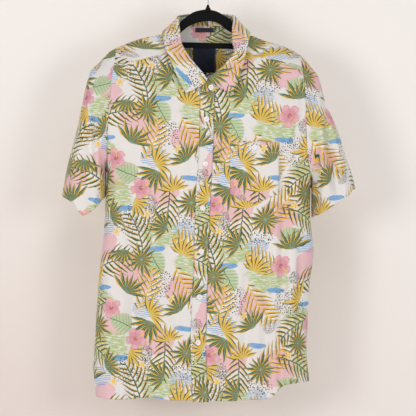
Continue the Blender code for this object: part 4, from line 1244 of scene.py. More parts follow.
def make_hook():
    """The wire hook, one smooth bend from the hanger's neck to its rounded tip."""
    points = list(HOOK_SHANK)
    radius = HOOK_INSIDE + HOOK_WIRE
    for degrees in np.linspace(HOOK_FROM, HOOK_TO, 20):
        a = math.radians(degrees)
        points.append((radius * math.cos(a), -HOOK_INSIDE + radius * math.sin(a)))
    route = stations(points)(np.linspace(0, 1, 110))
    curve = bpy.data.curves.new("hook_wire", "CURVE")
    curve.dimensions = "3D"
    spline = curve.splines.new("POLY")
    spline.points.add(len(route) - 1)
    for point, (x, z) in zip(spline.points, route):
        point.co = (x * MM, 0, z * MM, 1)
    for point, share in zip(spline.points[-5:], (0.98, 0.92, 0.8, 0.6, 0.3)):
        point.radius = share
    curve.bevel_depth = HOOK_WIRE * MM
    curve.bevel_resolution = 6
    curve.use_fill_caps = True
    piece = linked("hook_wire", curve, ["Wire"])
    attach(piece, "root")
    stands_for(piece, "hanger_hook", "hook")


LIGHTS = (  # name, place in metres, size in metres, power as a share of the key light's, colour
    ("key left", (-1.5, -2.3, -0.35), 0.95, 1.08, (1.0, 0.985, 0.97)),
    ("key right", (1.5, -2.3, -0.35), 0.95, 0.84, (1.0, 0.985, 0.97)),
    ("overhead", (0.3, -2.4, 1.7), 2.2, 0.9, (1.0, 0.99, 0.98)),
    ("behind left", (-1.6, 2.3, 0.5), 1.5, 1.9, (1.0, 0.99, 0.98)),
    ("behind right", (1.5, 2.2, 0.2), 1.5, 1.3, (0.98, 0.99, 1.0)),
)
LIT_POINT = Vector((0, 0, -0.45))  # what the lights face


def area_light(name, place, size, power, colour):
    """A round, soft light that faces the shirt's middle."""
    data = bpy.data.lights.new(name, "AREA")
    data.shape = "DISK"
    data.size = size
    data.energy = power
    data.color = colour
    light = linked(name, data)
    light.location = place
    light.rotation_euler = (LIT_POINT - Vector(place)).to_track_quat("-Z", "Y").to_euler()


def stage_plane(name, cells, size, matrix, entry):
    """A flat piece of the stage."""
    mesh = bmesh.new()
    bmesh.ops.create_grid(mesh, x_segments=cells, y_segments=cells, size=size)
    bmesh.ops.transform(mesh, matrix=matrix, verts=mesh.verts)
    thing = linked(name, mesh_data(name, mesh), [entry])
    return thing


def make_stage():
    """The wall behind, the floor, the soft lights and the camera."""
    scene = bpy.context.scene
    stage = scene.shirt_stage
    upright = Matrix.Translation((0, stage.wall_behind, -0.40)) @ Matrix.Rotation(math.pi / 2, 4, "X")
    wall = stage_plane("wall", 4, 0.5, upright @ Matrix.Diagonal((1.6, 1.5, 1, 1)), "Wall")
    for flag in ("visible_diffuse", "visible_glossy", "visible_transmission", "visible_shadow"):
        setattr(wall, flag, False)
    stage_plane("floor", 2, 3.0, Matrix.Translation((0, 0, stage.floor_level)), "Floor")
    for name, place, size, share, colour in LIGHTS:
        area_light(name, place, size, stage.key_power * share, colour)
    world = bpy.data.worlds.new("Studio")
    world.use_nodes = True
    air = world.node_tree.nodes["Background"].inputs
    air["Color"].default_value = (*stage.air, 1)
    air["Strength"].default_value = stage.air_strength
    scene.world = world
    scene.view_settings.view_transform = "Standard"
    camera = bpy.data.cameras.new("camera")
    camera.lens = stage.lens
    camera.sensor_width = 36.0
    camera.dof.use_dof = False
    eye = linked("camera", camera)
    eye.location = (0, -stage.camera_distance, stage.camera_height)
    eye.rotation_euler = (math.pi / 2, 0, 0)
    scene.camera = eye


class Field:
    """A value that varies over a surface, worked out by shader nodes, and used like a number."""

    def __init__(self, tree, socket):
        self.tree = tree
        self.socket = socket

    def math(self, operation, *others):
        """A Math node's result with this value first."""
        node = self.tree.nodes.new("ShaderNodeMath")
        node.operation = operation
        for entry, value in zip(node.inputs, (self, *others)):
            feed(self.tree, entry, value)
        return Field(self.tree, node.outputs[0])

    def __add__(self, other):
        return self.math("ADD", other)

    def __sub__(self, other):
        return self.math("SUBTRACT", other)

    def __mul__(self, other):
        return self.math("MULTIPLY", other)

    def __truediv__(self, other):
        return self.math("DIVIDE", other)

    def __rsub__(self, other):
        return self.math("MULTIPLY_ADD", -1.0, other)

    __radd__ = __add__
    __rmul__ = __mul__

    def power(self, other):
        """A power of the value, or of 0 where it is less."""
        return self.math("MAXIMUM", 0.0).math("POWER", other)

    def over(self, edge, soft=0.02):
        """1 where the value is over the edge, 0 under it, with a soft step between."""
        return self.math("MULTIPLY_ADD", 1 / soft, 0.5 - edge / soft).clamped()

    def clamped(self):
        """The value held between 0 and 1."""
        return Field(self.tree, node_outputs(self.tree, "Clamp", {"Value": self})["Result"])


def feed(tree, entry, value):
    """Links a value into a socket, or sets the socket to it."""
    if isinstance(value, Field):
        tree.links.new(value.socket, entry)
    elif isinstance(value, bpy.types.NodeSocket):
        tree.links.new(value, entry)
    else:
        entry.default_value = value


def new_group(name, outputs, **inputs):
    """A node group's tree, its last node and its inputs: numbers, colours (tuples) or vectors (None)."""
    tree = bpy.data.node_groups.new(name, "ShaderNodeTree")
    for label, default in inputs.items():
        kind = {float: "Float", tuple: "Color"}.get(type(default), "Vector")
        socket = tree.interface.new_socket(label, in_out="INPUT", socket_type="NodeSocket" + kind)
        if default is not None:
            socket.default_value = default
    for label in outputs:
        kind = "Color" if label == "Color" else "Float"
        tree.interface.new_socket(label, in_out="OUTPUT", socket_type="NodeSocket" + kind)
    entry = tree.nodes.new("NodeGroupInput")
    leave = tree.nodes.new("NodeGroupOutput")
    return tree, leave, *(Field(tree, entry.outputs[label]) for label in inputs)


def feed_all(tree, node, values):
    """Feeds a node's inputs by name and returns its outputs."""
    for label, value in values.items():
        feed(tree, node.inputs[label], value)
    return node.outputs


def add_group(tree, group, values):
    """A group node in a tree, with values by input name: its outputs."""
    node = tree.nodes.new("ShaderNodeGroup")
    node.node_tree = group
    return feed_all(tree, node, values)


def node_outputs(tree, kind, values):
    """A shader node of a kind, with values by input name: its outputs."""
    return feed_all(tree, tree.nodes.new("ShaderNode" + kind), values)


def separate(tree, vector, axes="XY"):
    """Two parts of a vector."""
    parts = node_outputs(tree, "SeparateXYZ", {"Vector": vector})
    return [Field(tree, parts[axis]) for axis in axes]


def noise(tree, vector, scale, detail, output="Fac"):
    """Smooth noise from 0 to 1."""
    found = node_outputs(tree, "TexNoise", {"Vector": vector, "Scale": scale, "Detail": detail})
    return Field(tree, found[output])


def chance(tree, value):
    """A number from 0 to 1 that differs with each whole value."""
    node = tree.nodes.new("ShaderNodeTexWhiteNoise")
    node.noise_dimensions = "1D"
    return Field(tree, feed_all(tree, node, {"W": value})["Value"])


def mix_colour(tree, mask, under, above):
    """One colour laid over another where the mask is 1."""
    node = tree.nodes.new("ShaderNodeMix")
    node.data_type = "RGBA"
    for entry, value in zip((0, 6, 7), (mask, under, above)):
        feed(tree, node.inputs[entry], value)
    return node.outputs[2]


def frond_group():
    """A feathered frond from x -0.5 to 0.5, its leaflets lances with a light side and a dark one."""
    tree, leave, x, y, bend, leaflets, seed = new_group(
        "Frond", ("Light leaflets", "Dark leaflets"), X=0.0, Y=0.0, Bend=0.3, Leaflets=8.5, Seed=0.0
    )
    t = x + 0.5
    bowed = y - bend * (x * x - 0.1)
    a = bowed.math("ABSOLUTE")
    s = t - a * (0.55 + a * 1.3)
    side = bowed.over(0.0, 0.001)
    cell = s * leaflets + side * 0.45
    phase = cell.math("FRACT")
    random = chance(tree, cell.math("FLOOR") + side * 37.0 + seed)
    inside = s.over(0.0, 0.002) * (0.97 - s).over(0.0, 0.002)
    reach = (s.power(0.7) * math.pi).math("SINE").power(0.6) * (random * 0.11 + 0.29)
    q = a / reach.math("MAXIMUM", 0.001)
    width = (q * 1.3 + 0.08).power(0.65) * (1.0 - q).power(0.75) * 0.66
    off = phase - 0.42 - random * 0.16
    leaflet = (width - off.math("ABSOLUTE")).over(0.04, 0.07) * inside
    light = leaflet * (off + 0.02 - width * 0.3).over(0.0, 0.05)
    dark = leaflet * (width * 0.3 - 0.01 - off).over(0.0, 0.05)
    rib = (0.011 - a).over(0.0, 0.004) * t.over(0.0, 0.004) * (0.97 - t).over(0.0, 0.004)
    feed_all(tree, leave, {"Light leaflets": light, "Dark leaflets": dark.math("MAXIMUM", rib)})
    return tree


def spray_group():
    """Pointed leaves that fan out along +x from a root, up to a length of 1, each with an edge and a rib."""
    tree, leave, x, y, leaves, spread, seed = new_group(
        "Spray", ("Leaf", "Edge", "Rib"), X=0.0, Y=0.0, Leaves=9.0, Spread=1.3, Seed=0.0
    )
    r = (x * x + y * y).math("SQRT")
    angle = y.math("ARCTAN2", x)
    turn = (angle / spread * 0.5 + 0.5) * leaves + (r * r - 0.2) * 0.35
    random = chance(tree, turn.math("FLOOR") + seed)
    within = turn.over(0.0, 0.01) * (leaves - turn).over(0.0, 0.01)
    length = random * 0.34 + 0.6
    share = r / length
    half = (share.power(0.8) * math.pi).math("SINE").power(0.85) * (random * 0.02 + 0.066)
    off = (turn.math("FRACT") - 0.5) * (spread * 2.0 / leaves) * r
    shape = (half - off.math("ABSOLUTE")).over(0.0, 0.014) * (1.0 - share).over(0.0, 0.02) * within
    rib = (0.008 - (off + half * 0.15).math("ABSOLUTE")).over(0.0, 0.01)
    edge = (off - half * 0.38).over(0.0, 0.014)
    feed_all(tree, leave, {"Leaf": shape, "Edge": shape * edge, "Rib": shape * rib})
    return tree


def flower_group():
    """A five-petalled flower of radius 1 with ruffled edges, streaks and a stamen along +x."""
    tree, leave, x, y = new_group("Flower", ("Petals", "Streaks", "Stamen"), X=0.0, Y=0.0)
    r = (x * x + y * y).math("SQRT")
    angle = y.math("ARCTAN2", x)
    turn = angle * (5 / (2 * math.pi)) + r * 0.16
    k = (turn.math("FRACT") - 0.5).math("ABSOLUTE")
    ruffle = (angle * 31.0).math("SINE") * 0.018 + (angle * 17.0 + 1.0).math("SINE") * 0.022
    edge = 0.96 - k.power(2.6) * 2.2 + ruffle
    petals = (edge - r).over(0.0, 0.03)
    gap = (k - 0.465).over(0.0, 0.03) * r.over(0.12, 0.05)
    ray_length = 0.62 - r + (angle * 10.0).math("SINE") * 0.06
    rays = ((turn * (2 * math.pi * 6)).math("SINE") * 0.5 + 0.5) * ray_length.over(0.0, 0.25)
    heart = (0.2 - r).over(0.0, 0.08)
    rim = (r - edge + 0.07).over(0.0, 0.04) * 0.4
    streaks = (gap * 0.8).math("MAXIMUM", rays * 0.75).math("MAXIMUM", heart).math("MAXIMUM", rim)
    beside = (y - x * x * 0.25).math("ABSOLUTE")
    stalk = (0.028 - beside).over(0.0, 0.015) * x.over(0.0, 0.02) * (0.78 - x).over(0.0, 0.02)
    pollen = ((x * 60.0).math("SINE") * (y * 60.0).math("SINE")).over(-0.1, 0.3)
    knobs = (0.085 - beside).over(0.0, 0.02) * x.over(0.5, 0.02) * (0.84 - x).over(0.0, 0.02) * pollen
    stamen = stalk.math("MAXIMUM", knobs)
    feed_all(tree, leave, {"Petals": petals, "Streaks": streaks * petals, "Stamen": stamen})
    return tree


def split_leaf_group():
    """A broad leaf from x -0.5 to 0.5 with cuts from its edge and veins."""
    tree, leave, x, y = new_group("Split leaf", ("Leaf", "Veins"), X=0.0, Y=0.0)
    t = x + 0.5
    a = y.math("ABSOLUTE")
    breadth = (t.power(0.72) * math.pi).math("SINE").power(0.62) * 0.43
    s = t - a * 0.55
    phase = (s * 6.5 + y.over(0.0, 0.001) * 0.35).math("FRACT")
    share = a / breadth.math("MAXIMUM", 0.001)
    cut = (share - 0.5) * 0.32
    open_cut = (cut - (phase - 0.16).math("ABSOLUTE")).over(0.0, 0.03)
    leaf = (1.0 - share).over(0.0, 0.04) * (1.0 - open_cut) * t.over(0.0, 0.01) * (1.0 - t).over(0.0, 0.01)
    vein = (0.035 - (phase - 0.66).math("ABSOLUTE")).over(0.0, 0.03) * (0.85 - share).over(0.0, 0.1)
    rib = (0.012 - a).over(0.0, 0.008)
    feed_all(tree, leave, {"Leaf": leaf, "Veins": vein.math("MAXIMUM", rib) * leaf})
    return tree


def blossom_group():
    """A small pinwheel blossom of radius 1 with a yellow heart."""
    tree, leave, x, y = new_group("Blossom", ("Petals", "Heart", "Outline"), X=0.0, Y=0.0)
    r = (x * x + y * y).math("SQRT")
    turn = y.math("ARCTAN2", x) * (5 / (2 * math.pi)) + r * 0.3
    k = (turn.math("FRACT") - 0.5).math("ABSOLUTE")
    edge = 0.98 - k.power(1.7) * 2.1
    petals = (edge - r).over(0.0, 0.06)
    outline = (r - edge + 0.13).over(0.0, 0.08) * petals
    feed_all(tree, leave, {"Petals": petals, "Heart": (0.48 - r).over(0.0, 0.4) * petals, "Outline": outline})
    return tree


def patch_group():
    """A loose brush patch of radius 1, with its edge and strokes from the given noises."""
    tree, leave, x, y, rough, drag = new_group(
        "Patch", ("Wash", "Scribble", "Lines", "Body"), X=0.0, Y=0.0, Rough=0.5, Drag=0.5
    )
    body = 0.86 - (x * x + y * y).math("SQRT") + (rough - 0.5) * 0.8
    ruled = ((y + (x * 3.0).math("SINE") * 0.03) * 6.5).math("FRACT")
    lines = (0.17 - (ruled - 0.5).math("ABSOLUTE")).over(0.0, 0.1)
    feed_all(tree, leave, {
        "Wash": body.over(0.0, 0.04), "Scribble": (body + 0.05).over(0.0, 0.2) * drag.over(0.45, 0.12),
        "Lines": lines * body.over(0.0, 0.05) * drag.over(0.36, 0.1), "Body": body.over(0.0, 0.12),
    })
    return tree


TILE = (0.29, 0.31)  # the repeat of the print, in metres across and down
INKS = {  # linear red, green and blue, and what each is for
    "Ground": (0.77, 0.735, 0.71, "The unprinted cloth"),
    "Leaf": (0.03, 0.088, 0.05, "The dark green of the fronds"),
    "Mustard": (0.78, 0.46, 0.045, "The yellow side of the fronds"),
    "Pink": (0.78, 0.43, 0.47, "Petals and washes"),
    "Rose": (0.50, 0.14, 0.19, "The petals' streaks"),
    "Wash": (0.36, 0.52, 0.19, "The pale green washes and leaves"),
    "Sky": (0.10, 0.33, 0.64, "The blue lines and strokes"),
    "Ink": (0.016, 0.018, 0.022, "The specks and squiggles"),
    "Sun": (0.86, 0.58, 0.09, "Stamens and the hearts of the small blossoms"),
}

MOTIF_GROUPS = {  # a kind of motif's node group; all others are patches
    "green frond": "Frond", "gold frond": "Frond", "spray": "Spray", "gold spray": "Spray", "rosette": "Spray",
    "flower": "Flower", "split leaf": "Split leaf", "blossom": "Blossom",
}
LEAVES = {"spray": 8.0, "gold spray": 8.0, "rosette": 15.0}  # how many each kind of spray has

PRINT = (  # a kind with its places: x and y in the repeat, in mm; turn in degrees; size in mm; then a patch's
    # stretch, a frond's bend or a spray's spread in radians
    ("pink wash", (60, 240, 10, 42, 1.25), (205, 92, -20, 42, 1.2), (262, 262, 30, 32, 1.2),
     (132, 146, 60, 30, 1.3), (12, 58, -10, 32, 1.2), (166, 296, 15, 26, 1.5)),
    ("green scribble", (150, 252, 4, 34, 1.5), (44, 118, -6, 34, 1.45), (258, 172, 8, 30, 1.4),
     (120, 34, 5, 27, 1.5)),
    ("blue lines", (128, 188, 3, 25, 1.35), (236, 22, -4, 26, 1.3), (16, 182, 4, 20, 1.3)),
    ("blue stroke", (172, 226, 3, 7, 3.8), (62, 92, -3, 6, 4.2), (246, 142, 4, 7, 3.8), (24, 288, -5, 6, 4.0),
     (134, 62, 2, 6, 4.0)),
    ("specks", (205, 205, 20, 38, 1.4), (98, 66, -15, 34, 1.4), (24, 206, 0, 26, 1.2), (262, 70, 60, 27, 1.3)),
    ("squiggles", (234, 236, 5, 21, 0.8), (50, 18, -20, 20, 0.8), (106, 120, 12, 17, 0.9)),
    ("split leaf", (178, 300, 160, 52, 0), (88, 204, 35, 48, 0), (250, 112, -60, 50, 0)),
    ("gold frond", (56, 262, 38, 104, 0.35)),
    ("green frond", (112, 246, -28, 96, -0.4), (208, 172, 112, 102, 0.3), (156, 112, 14, 104, -0.35)),
    ("gold frond", (232, 62, 74, 96, 0.4), (28, 62, -52, 100, 0.35)),
    ("green frond", (112, 14, -148, 92, 0.35), (268, 222, -100, 94, -0.3)),
    ("gold frond", (34, 150, 150, 88, -0.3)),
    ("gold spray", (14, 130, 70, 52, 1.5), (196, 240, -20, 52, 1.4), (124, 72, 160, 52, 1.5),
     (284, 262, 100, 46, 1.5), (240, 6, 30, 50, 1.5)),
    ("spray", (92, 176, 96, 62, 1.4), (186, 50, 62, 62, 1.3), (244, 304, -118, 58, 1.4),
     (142, 208, 18, 54, 1.2),
     (16, 14, 128, 56, 1.3), (270, 186, 160, 56, 1.4), (176, 142, -96, 52, 1.3)),
    ("rosette", (30, 238, 10, 46, 3.14), (218, 120, 40, 44, 3.14), (122, 292, 75, 44, 3.14)),
    ("flower", (212, 268, 20, 24, 0), (72, 142, -50, 25, 0), (154, 20, 80, 22, 0)),
    ("blossom", (160, 178, 0, 10, 0), (284, 40, 30, 9, 0), (96, 268, 12, 9, 0), (226, 214, 50, 9.5, 0)),
)


def print_group():
    """The whole print: its motifs laid over the ground in their order, in a repeat."""
    names = list(INKS)
    tree, leave, vector, *inks = new_group(
        "Tropical print", ("Color",), Vector=None, **{name: (*INKS[name][:3], 1) for name in names}
    )
    ink = dict(zip(names, inks))
    cloth_x, cloth_y = separate(tree, vector)
    wobble_x, wobble_y = separate(tree, noise(tree, vector, 110.0, 1.0, "Color"))
    x_all, y_all = cloth_x + (wobble_x - 0.5) * 0.0035, cloth_y + (wobble_y - 0.5) * 0.0035
    brush = noise(tree, vector, 260.0, 2.0)  # how thick the paint lies
    rough = noise(tree, vector, 42.0, 3.0)  # how ragged a patch's edge is
    slanted = (cloth_y + cloth_x * 0.12) * 420.0
    stretched = node_outputs(tree, "CombineXYZ", {"X": cloth_x * 75.0, "Y": slanted})
    drag = noise(tree, stretched["Vector"], 1.0, 2.0)  # the streaks of a dry brush
    cells = tree.nodes.new("ShaderNodeTexVoronoi")
    cells.voronoi_dimensions = "2D"
    dots = feed_all(tree, cells, {"Vector": vector, "Scale": 215.0, "Randomness": 0.8})
    dot_size, _ = separate(tree, dots["Color"])
    specks = (dot_size * 0.2 + 0.13 - Field(tree, dots["Distance"])).over(0.0, 0.08)
    curl = noise(tree, vector, 190.0, 0.0)
    squiggles = (0.17 - ((curl * 5.0).math("FRACT") - 0.5).math("ABSOLUTE")).over(0.0, 0.1)
    groups = {}
    for make in (frond_group, spray_group, flower_group, split_leaf_group, blossom_group, patch_group):
        made = make()
        groups[made.name] = made
    leaf = mix_colour(tree, (brush - 0.46) * 0.9, ink["Leaf"], ink["Wash"])
    gold = mix_colour(tree, (brush - 0.4) * 1.6, ink["Mustard"], ink["Sun"])
    pale_leaf = mix_colour(tree, 0.3, ink["Wash"], ink["Ground"])
    pale_pink = mix_colour(tree, 0.22, ink["Pink"], ink["Ground"])
    scribble = mix_colour(tree, (brush - 0.45) * 1.4, ink["Wash"], ink["Mustard"])
    fan = (("Leaf", 1, leaf), ("Edge", 1, gold), ("Rib", 0.6, pale_leaf))
    layers = {  # what each kind lays down: its group's output, how strongly, and in which colour
        "green frond": (("Light leaflets", 1, gold), ("Dark leaflets", 1, leaf)),
        "gold frond": (("Light leaflets", 1, leaf), ("Dark leaflets", 1, gold)),
        "spray": fan,
        "rosette": fan,
        "gold spray": (("Leaf", 1, gold), ("Edge", 1, leaf), ("Rib", 0.6, pale_leaf)),
        "flower": (("Petals", 1, ink["Pink"]), ("Streaks", 1, ink["Rose"]), ("Stamen", 1, ink["Sun"])),
        "split leaf": (("Leaf", 1, pale_leaf), ("Veins", 1, ink["Leaf"])),
        "blossom": (("Petals", 1, ink["Ground"]), ("Heart", 1, ink["Sun"]), ("Outline", 1, ink["Mustard"])),
        "pink wash": (("Wash", 1, pale_pink),),
        "green scribble": (("Scribble", 0.85, scribble),),
        "blue lines": (("Lines", 1, ink["Sky"]),),
        "blue stroke": (("Wash", drag * 0.8 + 0.45, ink["Sky"]),),
        "specks": (("Body", specks, ink["Ink"]),),
        "squiggles": (("Body", squiggles, ink["Ink"]),),
    }
    colour = ink["Ground"]
    laid = [(kind, *place) for kind, *places in PRINT for place in places]
    for number, (kind, x, y, turn, size, extra) in enumerate(laid):
        name = MOTIF_GROUPS.get(kind, "Patch")
        x, y, size = x * MM, y * MM, size * MM
        away_x = x_all.math("WRAP", x + TILE[0] / 2, x - TILE[0] / 2) - x
        away_y = y_all.math("WRAP", y + TILE[1] / 2, y - TILE[1] / 2) - y
        long = size * (extra if name == "Patch" else 1.0)
        cos, sin = math.cos(math.radians(turn)), math.sin(math.radians(turn))
        own = {
            "Frond": {"Bend": extra, "Seed": number * 3.0},
            "Spray": {"Spread": extra, "Leaves": LEAVES.get(kind), "Seed": number * 7.0},
            "Patch": {"Rough": rough, "Drag": drag},
        }.get(name, {})
        placed = {
            "X": away_x * (cos / long) + away_y * (sin / long),
            "Y": away_y * (cos / size) - away_x * (sin / size),
        }
        out = add_group(tree, groups[name], placed | own)
        for output, strength, above in layers[kind]:
            mask = out[output] if strength == 1 else Field(tree, out[output]) * strength
            colour = mix_colour(tree, mask, colour, above)
    feed(tree, leave.inputs["Color"], colour)
    return tree


def weave_group():
    """Bump of a plain weave, with the soft crumple of worn cloth."""
    tree, leave, vector, threads, deep, crumple = new_group(
        "Plain weave", ("Height", "Fibre"), Vector=None, Threads=1500.0, Depth=0.00012, Crumple=0.0008
    )
    x, y = separate(tree, vector)
    turns = threads * math.pi
    over = (x * turns).math("SINE") * (y * turns).math("COSINE")
    fibre = noise(tree, vector, 900.0, 2.0)
    soft = noise(tree, vector, 34.0, 3.0)
    height = over * deep + (fibre - 0.5) * deep + (soft - 0.5) * crumple
    feed_all(tree, leave, {"Height": height, "Fibre": fibre})
    return tree


def shared(name, make):
    """The node group of a name, made when it is first asked for."""
    return bpy.data.node_groups.get(name) or make()


def object_place(tree):
    """Coordinates in the object, in metres."""
    return tree.nodes.new("ShaderNodeTexCoord").outputs["Object"]


def cut_place(tree):
    """Coordinates on a cut piece laid flat, in metres."""
    node = tree.nodes.new("ShaderNodeUVMap")
    node.uv_map = "Cut"
    return node.outputs["UV"]


def cloth_look(tree, fade=0.0):
    """The printed cloth. fade is how far the print is lost in the ground on the wrong side."""
    colours = bpy.context.scene.shirt_colours
    flat = cut_place(tree)
    inks = {label: (*getattr(colours, label.lower()), 1) for label in INKS}
    printed = add_group(tree, shared("Tropical print", print_group), {"Vector": flat, **inks})["Color"]
    weave = add_group(tree, shared("Plain weave", weave_group), {"Vector": flat})
    fibre = Field(tree, weave["Fibre"])
    worn = ((fibre - 0.5) * 0.16).math("ABSOLUTE")
    if fade:
        printed = mix_colour(tree, fade, printed, inks["Ground"])
    return mix_colour(tree, worn, printed, inks["Ground"]), weave["Height"], {
        "Roughness": fibre * 0.14 + 0.72, "Sheen Weight": 0.12, "Sheen Roughness": 0.5,
        "Specular IOR Level": 0.3,
    }


def thread_look(tree):
    """Pale spun thread."""
    ply = noise(tree, object_place(tree), 2500.0, 1.0)
    colour = mix_colour(tree, ply, (0.66, 0.63, 0.60, 1), (0.88, 0.86, 0.82, 1))
    return colour, ply * 0.0001, {"Roughness": 0.6, "Sheen Weight": 0.2}


def button_look(tree):
    """Milky, polished plastic with a faint pearly drift."""
    drift = noise(tree, object_place(tree), 160.0, 3.0)
    colour = mix_colour(tree, drift, (0.80, 0.77, 0.73, 1), (0.95, 0.93, 0.90, 1))
    return colour, drift * 0.0001, {
        "Roughness": drift * 0.18 + 0.12, "Subsurface Weight": 0.3, "Subsurface Scale": 0.001,
        "Coat Weight": 0.6, "Coat Roughness": 0.08,
    }


def label_look(tree):
    """Navy satin ribbon: close ribs and a slight shine."""
    flat = cut_place(tree)
    x, y = separate(tree, flat)
    rib = (x * (math.pi * 2 / 0.0006)).math("SINE")
    twill = (y * (math.pi * 2 / 0.0014) + x * 900.0).math("SINE")
    fibre = noise(tree, flat, 1200.0, 2.0)
    tone = rib * 0.15 + twill * 0.1 + fibre * 0.8
    colour = mix_colour(tree, tone, (0.0045, 0.0065, 0.018, 1), (0.013, 0.018, 0.046, 1))
    height = (rib + twill) * 0.00005 + fibre * 0.00008
    return colour, height, {"Roughness": fibre * 0.2 + 0.42, "Sheen Weight": 0.03, "Specular IOR Level": 0.3}


def flock_look(tree):
    """Black flocking: short fibres that take the light at grazing angles."""
    place = object_place(tree)
    fibre = noise(tree, place, 1400.0, 3.0)
    patch = noise(tree, place, 60.0, 2.0)
    colour = mix_colour(tree, fibre * 0.6 + patch * 0.4, (0.0015, 0.0015, 0.0018, 1), (0.008, 0.008, 0.009, 1))
    return colour, fibre * 0.0006 + patch * 0.0003, {
        "Roughness": 0.95, "Specular IOR Level": 0.2, "Sheen Weight": 0.06, "Sheen Roughness": 0.4,
        "Sheen Tint": (0.25, 0.25, 0.27, 1),
    }


def wire_look(tree):
    """Plated wire, unevenly polished."""
    drawn = noise(tree, object_place(tree), 700.0, 2.0)
    colour = mix_colour(tree, drawn, (0.50, 0.50, 0.51, 1), (0.66, 0.66, 0.66, 1))
    return colour, drawn * 0.00004, {"Metallic": 1.0, "Roughness": drawn * 0.18 + 0.16}


def wall_look(tree):
    """A wall with painted shade, darker towards its foot and its left, that is only there from the front, so
    that the shirt's back can be seen past it.
    """
    place = object_place(tree)
    x, z = separate(tree, place, "XZ")
    # Painted shade: the paint darkens towards the foot of the wall and towards its left, where less light
    # falls; the cloud noise only makes its tone uneven.
    fall = (z * -1.1).clamped().power(1.3)
    cloud = noise(tree, place, 2.2, 2.0)
    shade = (fall * (0.72 - x * 0.7) + (cloud - 0.5) * 0.12).clamped()
    seen = node_outputs(tree, "MixShader", {
        0: tree.nodes.new("ShaderNodeNewGeometry").outputs["Backfacing"],
        1: tree.nodes["Principled BSDF"].outputs["BSDF"],
        2: tree.nodes.new("ShaderNodeBsdfTransparent").outputs["BSDF"],
    })
    feed(tree, tree.nodes["Material Output"].inputs["Surface"], seen["Shader"])
    return wall_paint(tree, shade), None, {"Roughness": 0.9, "Specular IOR Level": 0.1}


def wall_paint(tree, shade):
    """The wall's paint, from its light colour to its shaded one."""
    stage = bpy.context.scene.shirt_stage
    return mix_colour(tree, shade, (*stage.wall_top, 1), (*stage.wall_foot, 1))


def floor_look(tree):
    """A floor in the wall's light colour."""
    cloud = noise(tree, object_place(tree), 3.0, 2.0)
    return wall_paint(tree, cloud * 0.2), None, {"Roughness": 0.9}


LOOKS = {  # each gives a material's colour, its bump's height in metres or None, and the rest of its shader
    "Print cloth": cloth_look, "Print wrong side": lambda tree: cloth_look(tree, fade=0.45),
    "Sewing thread": thread_look, "Button": button_look, "Label": label_look, "Flock": flock_look,
    "Wire": wire_look, "Wall": wall_look, "Floor": floor_look,
}


def material(name):
    """The material of a name, made when it is first asked for."""
    if name in bpy.data.materials:
        return bpy.data.materials[name]
    made = bpy.data.materials.new(name)
    made.use_nodes = True
    tree = made.node_tree
    colour, height, settings = LOOKS[name](tree)
    shader = tree.nodes["Principled BSDF"]
    feed_all(tree, shader, {"Base Color": colour, **settings})
    if height is not None:
        bump = node_outputs(tree, "Bump", {"Height": height, "Distance": 1.0, "Strength": 1.0})
        feed(tree, shader.inputs["Normal"], bump["Normal"])
    return made


def length_property(name, description, default):
    return FloatProperty(
        name=name, description=description, default=default, subtype="DISTANCE", unit="LENGTH"
    )


def power_property(name, description, default):
    return FloatProperty(name=name, description=description, default=default, unit="POWER")


def colour_property(name, description, default):
    return FloatVectorProperty(
        name=name, description=description, default=default, size=3, min=0.0, max=1.0, subtype="COLOR"
    )


def ink_property(name):
    """A colour that starts as one of the print's inks."""
    *default, description = INKS[name]
    return colour_property(name, description, default)


class ShirtSizes(bpy.types.PropertyGroup):
    """Sizes of the shirt's cloth and sewing."""

    cloth: length_property("Cloth", "Thickness of one layer of the shirt's cloth", 0.0006)
    collar: length_property("Collar", "Thickness of the collar and its stand, which are interlined", 0.0013)
    hem: length_property("Hem", "Width of the turned-up hem", 0.016)
    thread: length_property("Thread", "Thickness of a stitch of thread", 0.00042)


class ShirtColours(bpy.types.PropertyGroup):
    """Inks of the printed cloth."""

    ground: ink_property("Ground")
    leaf: ink_property("Leaf")
    mustard: ink_property("Mustard")
    pink: ink_property("Pink")
    rose: ink_property("Rose")
    wash: ink_property("Wash")
    sky: ink_property("Sky")
    ink: ink_property("Ink")
    sun: ink_property("Sun")


class ShirtStage(bpy.types.PropertyGroup):
    """The camera, the lights, the wall and the floor."""

    lens: FloatProperty(name="Lens", description="Focal length in millimetres", default=131.9)
    camera_distance: length_property("Camera distance", "From the camera to the hanger's plane", 3.2)
    camera_height: length_property("Camera height", "Over the inside of the hook's crown", -0.4893)
    wall_behind: length_property("Wall", "From the hanger's plane back to the wall", 0.15)
    floor_level: length_property("Floor", "The floor's height", -1.1)
    key_power: power_property("Key light", "Power that every light's own share is taken of", 20.0)
    air: colour_property("Air", "Colour of the light from all round", (0.95, 0.95, 0.97))
    air_strength: FloatProperty(name="Air strength", description="Strength of that light", default=0.44)
    wall_top: colour_property("Wall, top", "Paint where the wall is light", (0.865, 0.83, 0.805))
    wall_foot: colour_property("Wall, foot", "Paint where the wall is shaded", (0.74, 0.66, 0.62))


class MakeStep:
    """What the shirt's operators share."""

    bl_options = {"REGISTER", "UNDO"}
    makers = ()

    def execute(self, context):
        for make, *values in self.makers:
            make(*values)
        return {"FINISHED"}


class SHIRT_OT_body(MakeStep, bpy.types.Operator):
    """Make the two fronts, the back and the yoke"""

    bl_idname = "shirt.make_body"
    bl_label = "Make Body"
    makers = ((make_front, "right"), (make_front, "left"), (make_back,), (make_yoke,))


class SHIRT_OT_placket_and_pocket(MakeStep, bpy.types.Operator):
    """Make the placket and the patch pocket on the wearer's left front"""

    bl_idname = "shirt.make_placket_and_pocket"
    bl_label = "Make Placket and Pocket"
    makers = ((make_placket,), (make_pocket,))


class SHIRT_OT_sleeves(MakeStep, bpy.types.Operator):
    """Make the two short sleeves"""

    bl_idname = "shirt.make_sleeves"
    bl_label = "Make Sleeves"
    makers = ((make_sleeve, "right"), (make_sleeve, "left"))


